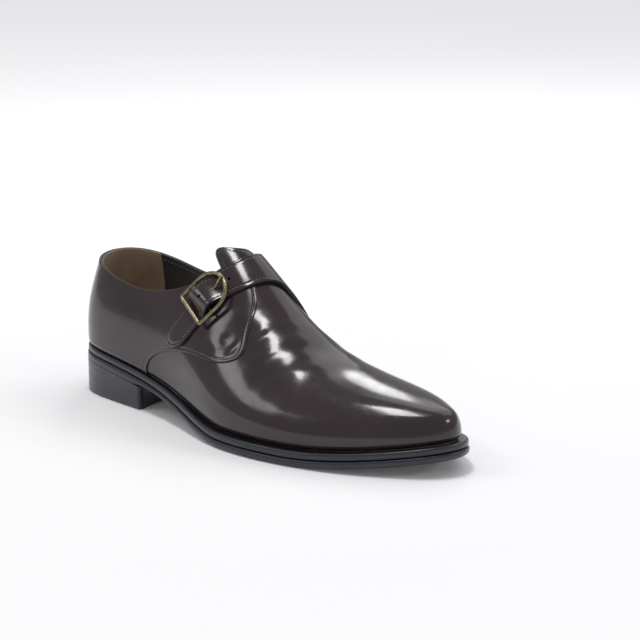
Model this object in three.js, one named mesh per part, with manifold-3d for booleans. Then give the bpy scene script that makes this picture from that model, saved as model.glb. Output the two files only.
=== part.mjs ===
// A single monk strap shoe for the right foot, in millimetres.
// +X runs from the heel to the toe, +Y to the inner (medial) side, +Z up, and the floor is z = 0.
// The origin is under the middle of the shoe's box.
//
// Every piece is read off one smooth form, the last: a closed loop of outline, run by the station
// parameter t (0 at the back of the heel, T at the tip of the toe), and across it a section,
// run by v (-1 at the outer feather edge, 0 on the crest, +1 at the inner feather edge).

import * as THREE from "three";
import { mergeVertices } from "three/addons/utils/BufferGeometryUtils.js";
import Module from "manifold-3d";

// ---------------------------------------------------------------- driving sizes

const GAP = 0.35; // clear space between two pieces that touch in the real shoe
const OUTSOLE_THICK = 4.6;
const WELT_THICK = 4.2;
const INSOLE_THICK = 3;
const UPPER_WALL = 1.8;
const STRAP_THICK = 2.4;
const WIRE_RADIUS = 1.1; // the buckle's frame
const BAR_RADIUS = 0.8; // its middle bar, which the strap climbs over
const PRONG_RADIUS = 0.7;
const FRAME_WIDTH = 25;
const FRAME_LENGTH = 27.5;
const BAR_AT = 10; // from the frame's straight end to the middle bar
const BAR_DROP = 0.9; // the middle bar lies this much nearer the shoe than the frame
const EYE_WIRE = 0.6; // the prong's eye
const TONGUE_TOP_X = 124;
const TONGUE_HALF = 17;
const TONGUE_Y = -4;
const HEEL_BREAST_X = 74;
const BREAST_HOLLOW = 7; // how far the breast curves back into the heel
const BREAST_HALF_WIDTH = 32;
const LEDGE = 2.6; // the welt runs this far in under the upper's wall
const INSOLE_BEVEL = 6; // the insole's top is dished from this far in
const INSOLE_DISH = 0.4;
const WALL_FOOT = 3; // the hollow is carried this far down through the open underside
const FAR = 160; // beyond the shoe in every direction, for cutters
const TONGUE_FROM_Z = 60;
const STRAP_LIFT = GAP + 0.1; // the strap's underside above the upper
const FEATHER_PINCH = 1.7; // how far the upper turns in where it meets the welt
const PINCH_HEIGHT = 3.6;
const SOLE_LENGTH = 300;
const ORIGIN_Y = -3.1; // the middle of the sole's widest box, measured from the heel's centre line

// The sole's plan, seen from above: the outer and the inner edge at each station, how far the welt
// stands beyond the upper.
const SOLE = [
  { x: 0, lateral: 0, medial: 0, welt: 1.5 },
  { x: 6, lateral: -19.6, medial: 17.4, welt: 1.5 },
  { x: 18, lateral: -30.4, medial: 27.3, welt: 1.6 },
  { x: 40, lateral: -35.4, medial: 32.4, welt: 1.8 },
  { x: 65, lateral: -36.8, medial: 31.2, welt: 2.2 },
  { x: 95, lateral: -39.4, medial: 27.2, welt: 2.9 },
  { x: 125, lateral: -46.2, medial: 26.2, welt: 3.8 },
  { x: 160, lateral: -55.4, medial: 32.6, welt: 4.7 },
  { x: 195, lateral: -56.2, medial: 45.2, welt: 4.9 },
  { x: 225, lateral: -50, medial: 49.4, welt: 4.9 },
  { x: 250, lateral: -40.4, medial: 45.8, welt: 4.9 },
  { x: 270, lateral: -28.8, medial: 38.4, welt: 4.9 },
  { x: 287, lateral: -15.6, medial: 28.2, welt: 4.9 },
  { x: 297, lateral: -3.2, medial: 17.8, welt: 4.9 },
  { x: 300, lateral: 7.4, medial: 7.4, welt: 4.9 },
];

// The outsole's underside: down the arch to the flat of the forefoot, then up with the toe spring.
const ARCH = [
  { x: 0, z: 22 },
  { x: 30, z: 19.9 },
  { x: 65, z: 16.2 },
  { x: 95, z: 11.6 },
  { x: 125, z: 6 },
  { x: 150, z: 1.6 },
  { x: 168, z: 0 },
];
const SPRING_FROM = 218;
const TOE_SPRING = 10;
const SPRING_CURVE = 1.6;

// The last's section at the same stations: the crest line and its rise above the feather edge, and
// how far in each side has come from the feather edge, as a share of the way to the crest, at three
// heights: the wall, the turn of the shoulder and the top. L is the outer side, M the inner side.
const LAST = [
  { crestY: 3, rise: 89.5, wallL: 0.035, turnL: 0.21, topL: 0.47, wallM: 0.035, turnM: 0.21, topM: 0.47 },
  { crestY: 3, rise: 89.8, wallL: 0.03, turnL: 0.21, topL: 0.47, wallM: 0.03, turnM: 0.19, topM: 0.46 },
  { crestY: 3, rise: 90.6, wallL: 0.02, turnL: 0.235, topL: 0.5, wallM: 0.01, turnM: 0.16, topM: 0.45 },
  { crestY: 3, rise: 92.5, wallL: 0, turnL: 0.265, topL: 0.54, wallM: -0.03, turnM: 0.11, topM: 0.46 },
  { crestY: 2.6, rise: 94.4, wallL: -0.01, turnL: 0.27, topL: 0.57, wallM: -0.07, turnM: 0.07, topM: 0.47 },
  { crestY: 2, rise: 95.4, wallL: -0.01, turnL: 0.29, topL: 0.62, wallM: -0.13, turnM: 0.05, topM: 0.51 },
  { crestY: 2, rise: 91, wallL: -0.01, turnL: 0.34, topL: 0.69, wallM: -0.14, turnM: 0.12, topM: 0.59 },
  { crestY: 3, rise: 71, wallL: -0.02, turnL: 0.34, topL: 0.71, wallM: -0.07, turnM: 0.25, topM: 0.66 },
  { crestY: 4, rise: 48, wallL: -0.02, turnL: 0.28, topL: 0.66, wallM: -0.03, turnM: 0.27, topM: 0.66 },
  { crestY: 4.8, rise: 37.4, wallL: -0.03, turnL: 0.22, topL: 0.6, wallM: -0.03, turnM: 0.23, topM: 0.61 },
  { crestY: 6, rise: 31.4, wallL: -0.03, turnL: 0.19, topL: 0.56, wallM: -0.03, turnM: 0.19, topM: 0.57 },
  { crestY: 7.4, rise: 26, wallL: -0.03, turnL: 0.18, topL: 0.54, wallM: -0.03, turnM: 0.18, topM: 0.54 },
  { crestY: 8, rise: 20.2, wallL: -0.02, turnL: 0.18, topL: 0.54, wallM: -0.02, turnM: 0.18, topM: 0.54 },
  { crestY: 8, rise: 13, wallL: -0.01, turnL: 0.19, topL: 0.55, wallM: -0.01, turnM: 0.19, topM: 0.55 },
  { crestY: 7.4, rise: 0, wallL: 0, turnL: 0.2, topL: 0.56, wallM: 0, turnM: 0.2, topM: 0.56 },
];
const WALL_UP = 0.3;
const TURN_UP = 0.68;
const TOP_UP = 0.93;
const ACROSS = [-1, -0.75, -0.45, -0.2, 0, 0.2, 0.45, 0.75, 1]; // v of the nine points of a section
const CONE_AXIS_X = 45; // behind here the section planes turn about the heel's own axis
const CONE_BLEND = 25;
const LAST_LENGTH = SOLE_LENGTH - SOLE[SOLE.length - 1].welt;

// The collar seen from the side: the edge of the opening from the back of the heel to the throat.
const COLLAR = [
  { x: -8, z: 87.8 },
  { x: 6, z: 87 },
  { x: 20, z: 83.6 },
  { x: 40, z: 78.4 },
  { x: 60, z: 75.2 },
  { x: 80, z: 75.2 },
  { x: 96, z: 78 },
  { x: 108, z: 81.6 },
  { x: 118, z: 86.2 },
  { x: 127, z: 91.6 },
  { x: 135, z: 97.2 },
  { x: 141, z: 103 },
  { x: 144, z: 112 },
];

// The strap's two edges as it goes from its rounded tip on the outer side (v < 0) over the instep
// to the inner side, where it grows into the inner quarter.
const STRAP = [
  { v: -0.73, back: 105.5, front: 114 },
  { v: -0.69, back: 104, front: 119.5 },
  { v: -0.57, back: 112.5, front: 128.5 },
  { v: -0.45, back: 118.5, front: 134.5 },
  { v: -0.33, back: 124.5, front: 141 },
  { v: -0.2, back: 131, front: 147.5 },
  { v: -0.1, back: 134, front: 150.3 },
  { v: 0, back: 135, front: 153 },
  { v: 0.1, back: 134.5, front: 156 },
  { v: 0.2, back: 131.5, front: 160 },
  { v: 0.3, back: 127, front: 163.5 },
  { v: 0.42, back: 120, front: 167 },
];
const HUMP_RISE = 5.1; // the strap climbs this far over the middle bar
const HUMP_SPREAD_TIP = 0.045; // how far the climb reaches along v, towards the strap's tip
const HUMP_SPREAD_INSTEP = 0.075; // and towards the instep
const BAR_V = -0.45;

// Where the buckle lies: the two ends of its straight end and the top of its arch, as stations and
// v, and how far its wire stands off the upper there.
const BUCKLE = {
  endBack: { x: 117, v: -0.52, lift: 5.5 },
  endFront: { x: 128, v: -0.54, lift: 5 },
  arch: { x: 138.5, v: -0.31, lift: 6.8 },
};

// ---------------------------------------------------------------- splines

/** The second derivatives of a cubic spline: slope 0 or free (natural) at each end. */
function bends(knots, values, startFlat, endFlat) {
  const n = knots.length;
  const step = (i) => knots[i + 1] - knots[i];
  const rise = (i) => (values[i + 1] - values[i]) / step(i);
  const diagonal = new Array(n).fill(1);
  const upper = new Array(n).fill(0);
  const lower = new Array(n).fill(0);
  const right = new Array(n).fill(0);
  for (let i = 1; i < n - 1; i++) {
    lower[i] = step(i - 1);
    diagonal[i] = 2 * (step(i - 1) + step(i));
    upper[i] = step(i);
    right[i] = 6 * (rise(i) - rise(i - 1));
  }
  if (startFlat) {
    diagonal[0] = 2 * step(0);
    upper[0] = step(0);
    right[0] = 6 * rise(0);
  }
  if (endFlat) {
    diagonal[n - 1] = 2 * step(n - 2);
    lower[n - 1] = step(n - 2);
    right[n - 1] = -6 * rise(n - 2);
  }
  for (let i = 1; i < n; i++) {
    const share = lower[i] / diagonal[i - 1];
    diagonal[i] -= share * upper[i - 1];
    right[i] -= share * right[i - 1];
  }
  const bend = new Array(n).fill(0);
  bend[n - 1] = right[n - 1] / diagonal[n - 1];
  for (let i = n - 2; i >= 0; i--) bend[i] = (right[i] - upper[i] * bend[i + 1]) / diagonal[i];
  return bend;
}

/** A cubic spline through values at knots. */
function spline(knots, values, startFlat = false, endFlat = false) {
  const bend = bends(knots, values, startFlat, endFlat);
  return (at) => {
    let i = 0;
    while (i < knots.length - 2 && at > knots[i + 1]) i++;
    const h = knots[i + 1] - knots[i];
    const b = (at - knots[i]) / h;
    const a = 1 - b;
    const curve = ((a ** 3 - a) * bend[i] + (b ** 3 - b) * bend[i + 1]) * (h * h) / 6;
    return a * values[i] + b * values[i + 1] + curve;
  };
}

/** How much each of the section's nine points counts at v. */
function acrossWeights(v) {
  return ACROSS.map((_, i) => spline(ACROSS, ACROSS.map((__, j) => (i === j ? 1 : 0)))(v));
}

// ---------------------------------------------------------------- the outline and the last

const knots = [0];
for (let i = 1; i < SOLE.length; i++) {
  const width = (row) => (row.medial - row.lateral) / 2;
  const step = Math.hypot(SOLE[i].x - SOLE[i - 1].x, width(SOLE[i]) - width(SOLE[i - 1]));
  knots.push(knots[i - 1] + step);
}
const T = knots[knots.length - 1];

/** A column of a table as a smooth function of t, level at both ends (or free at the toe). */
const track = (rows, column, toeFree = false) =>
  spline(knots, rows.map((row) => row[column]), true, !toeFree);

/** The outline's y runs on smoothly from the outer side round the toe to the inner side. */
function loopTrack() {
  const last = SOLE.length - 1;
  const at = [];
  const y = [];
  for (let i = -last; i <= 2 * last; i++) {
    const j = i < 0 ? -i : i > last ? 2 * last - i : i;
    const t = i < 0 ? -knots[j] : i > last ? 2 * T - knots[j] : knots[j];
    at.push(t);
    y.push(i < 0 || i > last ? SOLE[j].medial : SOLE[j].lateral);
  }
  const curve = spline(at, y);
  return (t, side) => curve(side < 0 ? t : -t);
}

const outlineX = track(SOLE, "x");
const outlineYFromHeel = loopTrack();
const weltWidth = track(SOLE, "welt");
const crestY = track(LAST, "crestY");
const crestRise = track(LAST, "rise", true);
const shares = {};
for (const column of ["wallL", "turnL", "topL", "wallM", "turnM", "topM"])
  shares[column] = track(LAST, column);

/** The outline's y on one side; past the toe's tip the loop comes back on the other side. */
function outlineY(t, side) {
  if (t <= T / 2 || side < 0) return outlineYFromHeel(t, side);
  return outlineYFromHeel(2 * T - t, -1);
}

/** The sole's underside: flat on the floor at the forefoot, up under the arch and at the toe. */
const FLAT_FROM = ARCH[ARCH.length - 1].x;
const archTrack = spline(ARCH.map((row) => row.x), ARCH.map((row) => row.z), false, true);
function underZ(x) {
  if (x < FLAT_FROM) return archTrack(Math.max(x, 0));
  const share = Math.max(0, x - SPRING_FROM) / (SOLE_LENGTH - SPRING_FROM);
  return TOE_SPRING * share ** SPRING_CURVE;
}

/** The outline's point and its outward direction in plan. */
function outline(t, side) {
  const d = 0.05;
  const a = Math.max(t - d, 0);
  const b = Math.min(t + d, T);
  const tangent = new THREE.Vector2(outlineX(b) - outlineX(a), outlineY(b, side) - outlineY(a, side));
  if (t < d || t > T - d) tangent.x = 0;
  tangent.normalize();
  const outward = new THREE.Vector2(side * -tangent.y, side * tangent.x);
  return { point: new THREE.Vector2(outlineX(t), outlineY(t, side)), outward };
}

/** A point set in from the sole's edge, at a height. */
function inset(t, side, distance, z) {
  const { point, outward } = outline(t, side);
  return new THREE.Vector3(point.x - outward.x * distance, point.y - outward.y * distance, z);
}

const featherZ = (x) => underZ(x) + OUTSOLE_THICK + WELT_THICK + 2 * GAP;

/** The nine points of the last's section at t. */
function section(t) {
  const edge = (side) => {
    const p = inset(t, side, weltWidth(t), 0);
    p.z = featherZ(p.x);
    return p;
  };
  const lateral = edge(-1);
  const medial = edge(1);
  const along = (lateral.x + medial.x) / 2;
  const behind = CONE_AXIS_X - along;
  const lead = ((behind + Math.hypot(behind, CONE_BLEND)) / 2) * (1 - along / LAST_LENGTH);
  const crest = new THREE.Vector3(along + lead, crestY(t), featherZ(along) + crestRise(t));
  const between = (foot, share, up) =>
    new THREE.Vector3(
      foot.x + (crest.x - foot.x) * share,
      foot.y + (crest.y - foot.y) * share,
      foot.z + (crest.z - foot.z) * up,
    );
  return [
    lateral,
    between(lateral, shares.wallL(t), WALL_UP),
    between(lateral, shares.turnL(t), TURN_UP),
    between(lateral, shares.topL(t), TOP_UP),
    crest,
    between(medial, shares.topM(t), TOP_UP),
    between(medial, shares.turnM(t), TURN_UP),
    between(medial, shares.wallM(t), WALL_UP),
    medial,
  ];
}

/** The last's surface: the section's points blended by their weights, turned in at the feather. */
function onLast(t, v, weights = acrossWeights(v), points = section(t)) {
  const p = new THREE.Vector3();
  points.forEach((point, i) => p.addScaledVector(point, weights[i]));
  const rise = Math.max(0, 1 - (p.z - featherZ(p.x)) / PINCH_HEIGHT);
  const out = outline(t, -1).outward.multiplyScalar((1 - v) / 2);
  out.addScaledVector(outline(t, 1).outward, (1 + v) / 2).normalize();
  p.x -= out.x * FEATHER_PINCH * rise * rise;
  p.y -= out.y * FEATHER_PINCH * rise * rise;
  return p;
}

/** The outward normal of the last's surface. */
function normalAt(t, v) {
  const d = 0.02;
  const s = Math.min(Math.max(t, 1), T - 1.5);
  const w = Math.min(Math.max(v, -1 + d), 1 - d);
  const alongT = onLast(s + 0.5, w).sub(onLast(s - 0.5, w));
  const acrossV = onLast(s, w + d).sub(onLast(s, w - d));
  return alongT.cross(acrossV).normalize();
}

/** The surface moved out (or in) by a distance. At the heel's back both sides share one line. */
function offsetPoint(t, v, distance) {
  if (distance === 0) return onLast(t, v);
  const normal = normalAt(t, v);
  if (t === 0) normal.add(normalAt(t, -v)).normalize();
  if (t === T) normal.set(1, 0, 0);
  return onLast(t, v).addScaledVector(normal, distance);
}

/** The station parameter at the distance x from the back of the heel. */
function stationAt(x) {
  let low = 0;
  let high = T;
  for (let i = 0; i < 40; i++) {
    const middle = (low + high) / 2;
    if (outlineX(middle) < x) low = middle;
    else high = middle;
  }
  return (low + high) / 2;
}

// ---------------------------------------------------------------- meshes and booleans

const wasm = await Module();
wasm.setup();

/** Rings of points joined into one closed surface. Rings that fold or shrink at the ends close it,
 * and an open first or last ring is closed by a strip between its two halves. */
function loft(rings, capLast = false, capFirst = false) {
  const count = rings[0].length;
  const position = [];
  rings.forEach((ring) => ring.forEach((p) => position.push(p.x, p.y, p.z)));
  const index = [];
  for (let j = 0; j + 1 < rings.length; j++)
    for (let i = 0; i < count; i++) {
      const a = j * count + i;
      const b = j * count + ((i + 1) % count);
      index.push(a, b + count, b, a, a + count, b + count);
    }
  const cap = (start, turned) => {
    for (let i = 0; i + 1 < count / 2; i++) {
      const [a, b, c, d] = [start + i, start + i + 1, start + count - 2 - i, start + count - 1 - i];
      if (turned) index.push(a, b, c, a, c, d);
      else index.push(a, c, b, a, d, c);
    }
  };
  if (capLast) cap((rings.length - 1) * count, false);
  if (capFirst) cap(0, true);
  return tidied(position, index);
}

/** Merges shared vertices and drops the triangles that shrank to nothing. */
function tidied(position, index) {
  const raw = new THREE.BufferGeometry();
  raw.setAttribute("position", new THREE.Float32BufferAttribute(position, 3));
  raw.setIndex(index);
  const merged = mergeVertices(raw, 1e-3);
  const kept = [];
  const old = merged.index.array;
  for (let i = 0; i < old.length; i += 3)
    if (old[i] !== old[i + 1] && old[i + 1] !== old[i + 2] && old[i] !== old[i + 2])
      kept.push(old[i], old[i + 1], old[i + 2]);
  merged.setIndex(kept);
  return merged;
}

/** A closed three.js geometry as a solid that can be cut and joined. */
function solid(geometry) {
  const plain = geometry.clone();
  plain.deleteAttribute("normal");
  plain.deleteAttribute("uv");
  const merged = mergeVertices(plain, 1e-4);
  const made = new wasm.Manifold(
    new wasm.Mesh({
      numProp: 3,
      vertProperties: new Float32Array(merged.attributes.position.array),
      triVerts: new Uint32Array(merged.index.array),
    }),
  );
  if (made.volume() < 0) throw new Error("a surface faces inwards");
  return made;
}

/** A solid back as a three.js geometry. */
function geometryOf(made) {
  const mesh = made.getMesh();
  const geometry = new THREE.BufferGeometry();
  geometry.setAttribute("position", new THREE.BufferAttribute(new Float32Array(mesh.vertProperties), 3));
  geometry.setIndex(new THREE.BufferAttribute(new Uint32Array(mesh.triVerts), 1));
  geometry.computeVertexNormals();
  return geometry;
}

/** A side view outline pushed across the shoe. */
function sideCutter(outlinePoints) {
  const shape = new THREE.Shape(outlinePoints.map(([x, z]) => new THREE.Vector2(x, z)));
  const block = new THREE.ExtrudeGeometry(shape, { depth: FAR, bevelEnabled: false });
  block.rotateX(Math.PI / 2);
  block.translate(0, FAR / 2, 0);
  return solid(block);
}

/** Stations from a to b, closer together at the toe and the heel where the form turns. */
function stations(count, a = 0, b = T) {
  const list = [];
  for (let i = 0; i <= count; i++) {
    const share = i / count;
    list.push(a + (b - a) * (share - 0.09 * Math.sin(2 * Math.PI * share)));
  }
  return list;
}

// ---------------------------------------------------------------- sole, welt, heel, insole

/** A plate that follows the outline: each side's edge is a list of inset and height. */
function plate(edge, list, cut = false) {
  return loft(
    list.map((t) => {
      const side = (which) =>
        edge(t).map(({ inward, z }) => {
          const p = inset(t, which, inward, 0);
          p.z = z(p.x);
          return p;
        });
      return [...side(-1), ...side(1).reverse()];
    }),
    cut,
  );
}

function outsoleGeometry() {
  const waist = (t) => Math.exp(-(((outlineX(t) - 106) / 24) ** 2)); // the waist's edge is cut back
  const edge = (t) => [
    { inward: 7 + 3 * waist(t), z: (x) => underZ(x) },
    { inward: 1.6 + 3.2 * waist(t), z: (x) => underZ(x) + 0.25 * waist(t) },
    { inward: 0.4 + 1.2 * waist(t), z: (x) => underZ(x) + 1.1 + 0.6 * waist(t) },
    { inward: 0, z: (x) => underZ(x) + 2.4 + 0.3 * waist(t) },
    { inward: 0.2, z: (x) => underZ(x) + 3.6 },
    { inward: 0.9, z: (x) => underZ(x) + OUTSOLE_THICK },
  ];
  return plate(edge, stations(56));
}

function weltGeometry() {
  const bottom = (x) => underZ(x) + OUTSOLE_THICK + GAP;
  const rings = [];
  const list = stations(54);
  const loop = [...list.map((t) => [t, -1]), ...list.slice(1, -1).reverse().map((t) => [t, 1])];
  for (const [t, side] of loop) {
    const inner = weltWidth(t) + UPPER_WALL + LEDGE;
    const profile = [
      [inner, (x) => bottom(x)],
      [1.1, (x) => bottom(x)],
      [0.6, (x) => bottom(x) + 1.4],
      [0.7, (x) => bottom(x) + 2.9],
      [1.5, (x) => bottom(x) + WELT_THICK],
      [inner, (x) => bottom(x) + WELT_THICK],
    ];
    rings.push(
      profile.map(([inward, z]) => {
        const p = inset(t, side, inward, 0);
        p.z = z(p.x);
        return p;
      }),
    );
  }
  rings.push(rings[0]);
  return loft(rings);
}

function insoleGeometry() {
  const bottom = (x) => underZ(x) + OUTSOLE_THICK + GAP;
  const edge = (t) => {
    const inner = weltWidth(t) + UPPER_WALL + LEDGE + GAP;
    return [
      { inward: inner + INSOLE_BEVEL, z: (x) => bottom(x) },
      { inward: inner, z: (x) => bottom(x) },
      { inward: inner, z: (x) => bottom(x) + INSOLE_THICK },
      { inward: inner + INSOLE_BEVEL, z: (x) => bottom(x) + INSOLE_THICK - INSOLE_DISH },
    ];
  };
  return plate(edge, stations(40));
}

function heelGeometry() {
  const edge = () => [
    { inward: 0.9, z: () => 0 },
    { inward: 0.3, z: () => 0.7 },
    { inward: 0.3, z: (x) => underZ(x) - GAP },
  ];
  const beyondBreast = stationAt(HEEL_BREAST_X + BREAST_HOLLOW);
  const block = plate(edge, stations(20, 0, beyondBreast), true);
  const radius = (BREAST_HALF_WIDTH ** 2 + BREAST_HOLLOW ** 2) / (2 * BREAST_HOLLOW);
  const hollow = new THREE.CylinderGeometry(radius, radius, FAR, 160);
  hollow.rotateX(Math.PI / 2);
  hollow.translate(HEEL_BREAST_X - BREAST_HOLLOW + radius, 0, 0);
  return geometryOf(solid(block).subtract(solid(hollow)));
}

// ---------------------------------------------------------------- upper and tongue

// v of the points round each section, a little closer together at the feather edges.
const ROUND = 26;
const sectionV = [];
for (let i = 0; i <= ROUND; i++) {
  const v = (2 * i) / ROUND - 1;
  sectionV.push(Math.sign(v) * (1 - (1 - Math.abs(v)) ** 1.15));
}

/** The last's surface, moved by a distance, closed underneath; "deeper" carries its foot down. */
function lastForm(distance, deeper) {
  return loft(
    stations(46).map((t) => {
      const ring = sectionV.map((v) => offsetPoint(t, v, distance));
      if (!deeper) return ring;
      const foot = (p) => new THREE.Vector3(p.x, p.y, p.z - deeper);
      return [foot(ring[0]), ...ring, foot(ring[ring.length - 1])];
    }),
  );
}

const wall = solid(lastForm(0, 0)).subtract(solid(lastForm(-UPPER_WALL, WALL_FOOT)));

// All that is above the collar's edge, as seen from the side.
const collarSide = COLLAR.map(({ x, z }) => [x, z]);
const above = sideCutter([...collarSide, [COLLAR[COLLAR.length - 1].x, FAR], [COLLAR[0].x, FAR]]);

function upperGeometry() {
  return geometryOf(wall.subtract(above));
}

/** The tongue: the vamp's own surface carried on up through the throat, with a round top. */
function tongueGeometry() {
  const top = new THREE.Shape();
  top.moveTo(TONGUE_TOP_X + TONGUE_HALF, TONGUE_Y - TONGUE_HALF);
  top.lineTo(FAR, TONGUE_Y - TONGUE_HALF);
  top.lineTo(FAR, TONGUE_Y + TONGUE_HALF);
  top.lineTo(TONGUE_TOP_X + TONGUE_HALF, TONGUE_Y + TONGUE_HALF);
  top.absarc(TONGUE_TOP_X + TONGUE_HALF, TONGUE_Y, TONGUE_HALF, Math.PI / 2, 1.5 * Math.PI);
  const post = new THREE.ExtrudeGeometry(top, { depth: FAR, bevelEnabled: false, curveSegments: 12 });
  post.translate(0, 0, TONGUE_FROM_Z);
  const behindThroat = above.translate(-GAP, 0, GAP);
  return geometryOf(wall.intersect(solid(post)).intersect(behindThroat));
}

// ---------------------------------------------------------------- strap and buckle

/** A thick sheet over the last: rows of { v, x from, x to }, its underside and top as distances. */
function sheet(rows, columns, low, high) {
  return loft(
    rows.map(({ v, back, front }) => {
      const ring = [];
      for (let i = 0; i <= columns; i++) ring.push([back + ((front - back) * i) / columns, low(v)]);
      for (let i = columns; i >= 0; i--) ring.push([back + ((front - back) * i) / columns, high(v)]);
      return ring.map(([x, distance]) => offsetPoint(stationAt(x), v, distance));
    }),
    true,
    true,
  );
}

function strapRows(count) {
  const v = STRAP.map((row) => row.v);
  const back = spline(v, STRAP.map((row) => row.back));
  const front = spline(v, STRAP.map((row) => row.front));
  const rows = [];
  for (let i = 0; i <= count; i++) {
    const at = v[0] + ((v[v.length - 1] - v[0]) * i) / count;
    rows.push({ v: at, back: back(at), front: front(at) });
  }
  return rows;
}

/** The buckle's own plane: x along its straight end, y towards the arch, z off the shoe. */
function bucklePlane() {
  const at = ({ x, v, lift }) => offsetPoint(stationAt(x), v, lift);
  const origin = at(BUCKLE.endBack).add(at(BUCKLE.endFront)).multiplyScalar(0.5);
  const along = at(BUCKLE.endFront).sub(at(BUCKLE.endBack)).normalize();
  const up = at(BUCKLE.arch).sub(origin);
  const off = along.clone().cross(up).normalize();
  const towards = off.clone().cross(along);
  return new THREE.Matrix4().makeBasis(along, towards, off).setPosition(origin);
}

/** A round bar along points, with flat ends, or closed on itself. */
function wire(points, radius, closed = false, sides = 10) {
  const path = new THREE.CatmullRomCurve3(points, closed, "centripetal");
  const steps = points.length * (closed ? 2 : 4);
  const { normals, binormals } = path.computeFrenetFrames(steps, closed);
  const rings = [];
  for (let i = 0; i <= steps; i++) {
    const at = closed && i === steps ? 0 : i;
    const ring = [];
    for (let k = 0; k < sides; k++) {
      const turn = (-2 * Math.PI * k) / sides;
      const p = path.getPointAt(at / steps);
      p.addScaledVector(normals[at], radius * Math.cos(turn));
      ring.push(p.addScaledVector(binormals[at], radius * Math.sin(turn)));
    }
    rings.push(ring);
  }
  return loft(rings, !closed, !closed);
}

/** The D of the frame: a straight end, two arms and a half-round arch. */
function frameOutline() {
  const half = FRAME_WIDTH / 2;
  const arm = FRAME_LENGTH - half;
  const points = [];
  for (const x of [-0.85, -0.4, 0, 0.4, 0.85]) points.push(new THREE.Vector3(x * half, 0, 0));
  points.push(new THREE.Vector3(half, 1.2, 0), new THREE.Vector3(half, arm / 2, 0));
  for (let i = 0; i <= 12; i++) {
    const turn = (Math.PI * i) / 12;
    points.push(new THREE.Vector3(half * Math.cos(turn), arm + half * Math.sin(turn), 0));
  }
  points.push(new THREE.Vector3(-half, arm / 2, 0), new THREE.Vector3(-half, 1.2, 0));
  return points;
}

const plane = bucklePlane();
const half = FRAME_WIDTH / 2;

function frameSolid() {
  const ring = solid(wire(frameOutline(), WIRE_RADIUS, true));
  const bar = [-1, -0.9, 0, 0.9, 1].map(
    (share) => new THREE.Vector3(share * half, BAR_AT, Math.abs(share) < 0.95 ? -BAR_DROP : 0),
  );
  return ring.add(solid(wire(bar, BAR_RADIUS)));
}

/** The prong: an eye round the middle bar, and a rod up through the strap onto the arch. */
function prongSolid(extra = 0) {
  const eye = new THREE.TorusGeometry(BAR_RADIUS + GAP + EYE_WIRE, EYE_WIRE + extra, 8, 20);
  eye.rotateY(Math.PI / 2);
  eye.translate(0, BAR_AT, -BAR_DROP);
  const rest = WIRE_RADIUS + PRONG_RADIUS + GAP;
  const rod = [
    [BAR_AT + 1.6, -BAR_DROP + 0.3],
    [BAR_AT + 4, 1.2],
    [BAR_AT + 7, 2.4],
    [BAR_AT + 12, 2.6],
    [FRAME_LENGTH, rest],
    [FRAME_LENGTH + 1.2 + extra, rest - 0.1],
  ].map(([y, z]) => new THREE.Vector3(0, y, z));
  return solid(eye).add(solid(wire(rod, PRONG_RADIUS + extra)));
}

const placed = (made) => made.transform(plane.elements);

function strapSolid() {
  const low = (v) => {
    const spread = v < BAR_V ? HUMP_SPREAD_TIP : HUMP_SPREAD_INSTEP;
    return STRAP_LIFT + HUMP_RISE * Math.exp(-(((v - BAR_V) / spread) ** 2));
  };
  const high = (v) => low(v) + STRAP_THICK;
  return solid(sheet(strapRows(46), 6, low, high)).subtract(placed(prongSolid(GAP)));
}

// ---------------------------------------------------------------- the shoe

const leather = { color: 0x3a2124, roughness: 0.25, metalness: 0 };
const soleBlack = { color: 0x16171b, roughness: 0.45, metalness: 0 };
const brass = { color: 0x8f7f55, roughness: 0.35, metalness: 1 };

const shoe = new THREE.Group();
const frame = new THREE.Group();
frame.position.set(-SOLE_LENGTH / 2, -ORIGIN_Y, 0);
shoe.add(frame);

function piece(name, geometry, look) {
  const mesh = new THREE.Mesh(geometry, new THREE.MeshStandardMaterial(look));
  mesh.name = name;
  frame.add(mesh);
}

piece("outsole", outsoleGeometry(), soleBlack);
piece("heel", heelGeometry(), soleBlack);
piece("welt", weltGeometry(), soleBlack);
piece("insole", insoleGeometry(), { color: 0x8a6f52, roughness: 0.8, metalness: 0 });
piece("upper", upperGeometry(), leather);
piece("tongue", tongueGeometry(), leather);
piece("strap", geometryOf(strapSolid()), leather);
piece("buckle_frame", geometryOf(placed(frameSolid())), brass);
piece("buckle_prong", geometryOf(placed(prongSolid())), brass);

export default shoe;
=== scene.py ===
"""The looks of a single monk strap shoe for the right foot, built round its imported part.

Shapes are worked out in millimetres from the back of the heel, x to the toe, y to the inner side
and z up, and are put in the part's frame, in metres, when a mesh is made.
"""

import math

import bmesh
import bpy
import numpy as np
from bpy.props import FloatProperty, FloatVectorProperty, PointerProperty
from mathutils import Matrix, Quaternion, Vector
from mathutils.kdtree import KDTree


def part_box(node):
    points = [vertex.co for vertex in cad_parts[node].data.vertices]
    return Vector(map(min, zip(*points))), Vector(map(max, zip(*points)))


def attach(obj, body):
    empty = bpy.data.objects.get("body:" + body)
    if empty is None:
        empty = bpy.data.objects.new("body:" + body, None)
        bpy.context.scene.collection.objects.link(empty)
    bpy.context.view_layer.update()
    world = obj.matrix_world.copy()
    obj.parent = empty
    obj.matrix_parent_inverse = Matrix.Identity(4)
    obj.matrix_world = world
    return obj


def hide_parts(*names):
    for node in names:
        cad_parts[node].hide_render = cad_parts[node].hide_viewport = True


bl_info = {
    "name": "Monk Strap Shoe",
    "version": (1, 0, 0),
    "blender": (4, 5, 0),
    "location": "View3D > Sidebar > Shoe",
    "description": "Builds the leather, sole, buckle and stage of a monk strap shoe",
    "category": "Object",
}

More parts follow.
